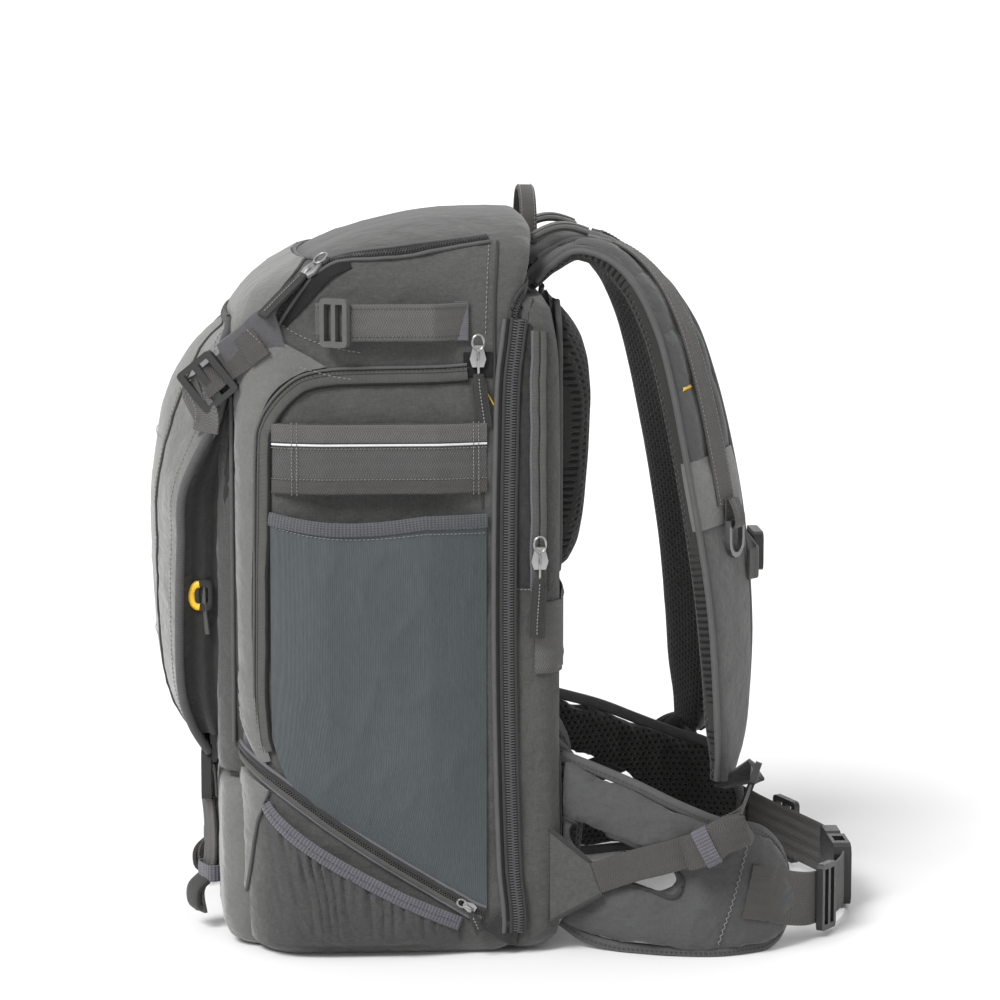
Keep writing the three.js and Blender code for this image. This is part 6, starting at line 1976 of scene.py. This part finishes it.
def build_flap_straps():
    rows = smooth_rows(COMPRESSION_ROWS, 40)
    path = [vec(-r[0] * FRONT_DEPTH, -r[1] * BAG_WIDTH / 2, r[2] * BAG_HEIGHT) for r in rows]
    widths = [r[3] * 56 for r in rows]
    sides = [vec(-0.45, 0, 1)] * 40
    add_pair("compression_webbing", strip(path, sides, widths, 4, 5), "fan", "compression_strap")
    skin = SKINS["body"]
    along = vec(-0.74, 0.2, -0.62).normalized()
    last = frames_along(path, sides)[-1]
    lock_side = (last.side - along * last.side.dot(along)).normalized()
    lock_out = lock_side.cross(along).normalized()
    lock_out = lock_out if lock_out.y < 0 else -lock_out
    middle = path[-1] + along * 18 + lock_out * 3
    start, normals = side_path(skin, [(-86, 426), (-92, 421), (-98, 415.5)], 5.2)
    run = smooth_path(start + [
        middle - along * 13 - lock_out * 2.6, middle - along * 5 + lock_out * 0.4, middle + lock_out * 1.2,
        middle + along * 5 + lock_out * 0.2,
    ], 1.5)
    facing = [vec(-0.35, -1, 0.15).normalized()] * len(run)
    wide = [mix(23, 20, k / (len(run) - 1)) for k in range(len(run))]
    add_pair("compression_tape", ribbon(run, facing, wide, 2.6, 6), "webbing")
    fold = run[: len(run) // 3]
    add_pair(
        "compression_tape_fold", ribbon([p + facing[0] * 2.0 for p in fold], facing, 23, 2.0, 6), "webbing"
    )
    edge = [run[1] + facing[0] * 3.2 + vec(0.7, 0, -0.7) * t for t in range(-10, 11)]
    add_pair("compression_stitches", stitches(edge, facing, 2.8, 1.9, 0.3), "thread")
    flap_rows = smooth_rows(FLAP_ROWS, 90)
    share = next(k / 89 for k, r in enumerate(flap_rows) if r[0] * FLAP_TOP > 364)
    foot = flap_at(0.0, share, flap_rows)
    tab = smooth_path([
        middle + along * 7 - lock_out * 0.6, middle + along * 13 - lock_out * 2.4,
        middle.lerp(foot, 0.75) + vec(-2.5, -1.6, 0), foot + vec(-3.0, -0.8, -4),
    ], 1.5)
    facing = [vec(-0.5, -1, 0.1).normalized()] * len(tab)
    add_pair("flap_tab", ribbon(tab, facing, 20, 2.6, 6), "light_webbing")
    rows = [stitches(tab_row, facing, 2.8, 1.9, 0.28) for tab_row in (
        [p + facing[0] * 1.5 + vec(0.75, 0, -0.6) * t for p in tab] for t in (-8.5, 8.5)
    )]
    add_pair("flap_tab_stitches", join(*rows), "thread")
    centres = [
        vec(
            -FRONT_DEPTH - FRONT_BOW - r[0] * POCKET_DEPTH, -62, r[1] * 118
        ) for r in smooth_rows(FRONT_STRAP_ROWS, 40)
    ]
    turned = [vec(-0.42, 0.9, 0).normalized()] * 40
    add_pair("front_tape", strip(centres, turned, 20, 2.5, 6), "webbing", "front_strap")
    back = [p + vec(4.2, 1.0, 0) for p in centres[:24]]
    add_pair("front_tape_back", strip(back, turned[:24], 20, 2.2, 6), "webbing")
    hoop = hoop_round(centres[24] + vec(1.6, 0.4, 0), turned[0] * 12, vec(0.9, 0.42, 0) * 5.2, 0.5)
    add_pair("front_keeper", strip(hoop, UP, 12, 1.6, 5), "elastic", slot="elastic")
    fold = smooth_path(
        [
            centres[26] + vec(1, -1, 0), centres[31] + vec(-2.5, -1, 0), centres[36] + vec(-3.6, -1, 0),
            centres[39] + vec(-1, -1, 2)
        ],
        1.5
    )
    add_pair("front_tape_end", strip(fold, turned[0], 21, 4.4, 4), "dark_binding")


class BACKPACK_OT_flap_straps(bpy.types.Operator):
    """Makes the flap's upper and lower straps"""

    bl_idname = "backpack.flap_straps"
    bl_label = "Flap straps"

    def execute(self, context):
        build_flap_straps()
        return {"FINISHED"}


HARD = {
    "plastic": ["belt_lock", "strap_lock", "compression_lock", "front_clip"],
    "grey_plastic": ["tripod_lock"],
    "ring_metal": ["d_ring"],
}


def build_hard_pieces():
    jobs = [
        (f"{base}_{side}", key) for key, bases in HARD.items() for base in bases
        for side in ("right", "left")
    ]
    jobs += [("sternum_clip", "plastic"), ("belt_clip_socket", "plastic"), ("belt_clip_plug", "plastic")]
    for name, key in jobs:
        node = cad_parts[name]
        node.data.materials.clear()
        node.data.materials.append(MATERIALS[key])
        bevel = node.modifiers.new("rounding", "BEVEL")
        bevel.width = (1.5 if key == "ring_metal" else 0.9) * MM
        bevel.segments = 3
        bevel.limit_method = "ANGLE"
        bevel.angle_limit = radians(40)


class BACKPACK_OT_hard_pieces(bpy.types.Operator):
    """Rounds and paints the locks, clips and rings"""

    bl_idname = "backpack.hard_pieces"
    bl_label = "Locks and clips"

    def execute(self, context):
        build_hard_pieces()
        return {"FINISHED"}


OPERATORS = [
    BACKPACK_OT_body, BACKPACK_OT_side_panels, BACKPACK_OT_zips, BACKPACK_OT_front, BACKPACK_OT_pockets,
    BACKPACK_OT_pads,
    BACKPACK_OT_straps, BACKPACK_OT_belt, BACKPACK_OT_flap_straps, BACKPACK_OT_hard_pieces,
]


# Stage

CAMERA_TARGET = vec(80, 0, 298) * MM
CAMERA_AZIMUTH = radians(-3)
CAMERA_ELEVATION = radians(7.5)
CAMERA_DISTANCE = 2.4
CAMERA_LENS = 119.16


class StageSettings(bpy.types.PropertyGroup):
    floor_size: FloatProperty(
        name="Floor", description="Width of the floor sweep", default=14.0, unit="LENGTH"
    )
    floor_colour: colour_property("Floor colour", "Colour of the floor", (0.86, 0.86, 0.86))
    world_light: FloatProperty(
        name="World light", description="Strength of the light from all round", default=0.7
    )
    key_light: FloatProperty(name="Key light", description="Strength of the soft key light", default=2.5)


class BACKPACK_OT_stage(bpy.types.Operator):
    """Adds the floor, the soft lights and the camera"""

    bl_idname = "backpack.stage"
    bl_label = "Stage"

    def execute(self, context):
        settings = context.scene.backpack_stage
        half = settings.floor_size / 2
        mesh = bpy.data.meshes.new("floor")
        section = [(-half, 0.0), (3.5, 0.0)]
        section += [(3.5 + 1.6 * sin(a), 1.6 - 1.6 * cos(a)) for a in (k * pi / 40 for k in range(1, 21))]
        section.append((5.1, 8.0))
        points = [(x, y, z - 0.0006) for y, z in section for x in (-half, half)]
        mesh.from_pydata(
            points, [], [(2 * i, 2 * i + 1, 2 * i + 3, 2 * i + 2) for i in range(len(section) - 1)]
        )
        mesh.shade_smooth()
        floor = bpy.data.objects.new("floor", mesh)
        context.scene.collection.objects.link(floor)
        mesh.materials.append(floor_material(settings.floor_colour))

        world = bpy.data.worlds.new("studio")
        world.use_nodes = True
        background = world.node_tree.nodes["Background"]
        background.inputs["Color"].default_value = (1.0, 1.0, 1.0, 1.0)
        background.inputs["Strength"].default_value = settings.world_light
        context.scene.world = world

        sun = bpy.data.lights.new("key_light", "SUN")
        sun.energy = settings.key_light
        sun.angle = radians(24)
        key = bpy.data.objects.new("key_light", sun)
        key.rotation_euler = vec(-0.46, -0.5, 0.73).to_track_quat("Z", "Y").to_euler()
        context.scene.collection.objects.link(key)
        area = bpy.data.lights.new("edge_light", "AREA")
        area.size = 0.7
        area.energy = 9
        edge = bpy.data.objects.new("edge_light", area)
        edge.location = (-0.9, -1.6, 1.9)
        edge.rotation_euler = vec(0.9, 1.6, -1.6).to_track_quat("-Z", "Y").to_euler()
        context.scene.collection.objects.link(edge)

        data = bpy.data.cameras.new("camera")
        data.sensor_width = 36.0
        data.lens = CAMERA_LENS
        data.clip_end = 60
        camera = bpy.data.objects.new("camera", data)
        back = vec(
            sin(CAMERA_AZIMUTH) * cos(CAMERA_ELEVATION), -cos(CAMERA_AZIMUTH) * cos(CAMERA_ELEVATION),
            sin(CAMERA_ELEVATION),
        )
        camera.location = CAMERA_TARGET + back * CAMERA_DISTANCE
        camera.rotation_euler = (-back).to_track_quat("-Z", "Y").to_euler()
        context.scene.collection.objects.link(camera)
        context.scene.camera = camera
        context.scene.view_settings.view_transform = "Standard"
        return {"FINISHED"}


class BACKPACK_PT_panel(bpy.types.Panel):
    bl_label = "Backpack"
    bl_space_type = "VIEW_3D"
    bl_region_type = "UI"
    bl_category = "Backpack"

    def draw(self, context):
        for settings in (context.scene.backpack, context.scene.backpack_stage):
            for name in settings.bl_rna.properties.keys():
                if name not in ("rna_type", "name"):
                    self.layout.prop(settings, name)
        for operator in OPERATORS:
            self.layout.operator(operator.bl_idname)


CLASSES = [BagSettings, StageSettings, *OPERATORS, BACKPACK_OT_stage, BACKPACK_PT_panel]


def register():
    for one in CLASSES:
        bpy.utils.register_class(one)
    bpy.types.Scene.backpack = PointerProperty(type=BagSettings)
    bpy.types.Scene.backpack_stage = PointerProperty(type=StageSettings)


def unregister():
    del bpy.types.Scene.backpack_stage
    del bpy.types.Scene.backpack
    for one in reversed(CLASSES):
        bpy.utils.unregister_class(one)


def main():
    register()
    bpy.ops.backpack.stage()
    for operator in OPERATORS:
        group, name = operator.bl_idname.split(".")
        getattr(getattr(bpy.ops, group), name)()
    bpy.context.view_layer.update()


if __name__ == "__main__":
    main()
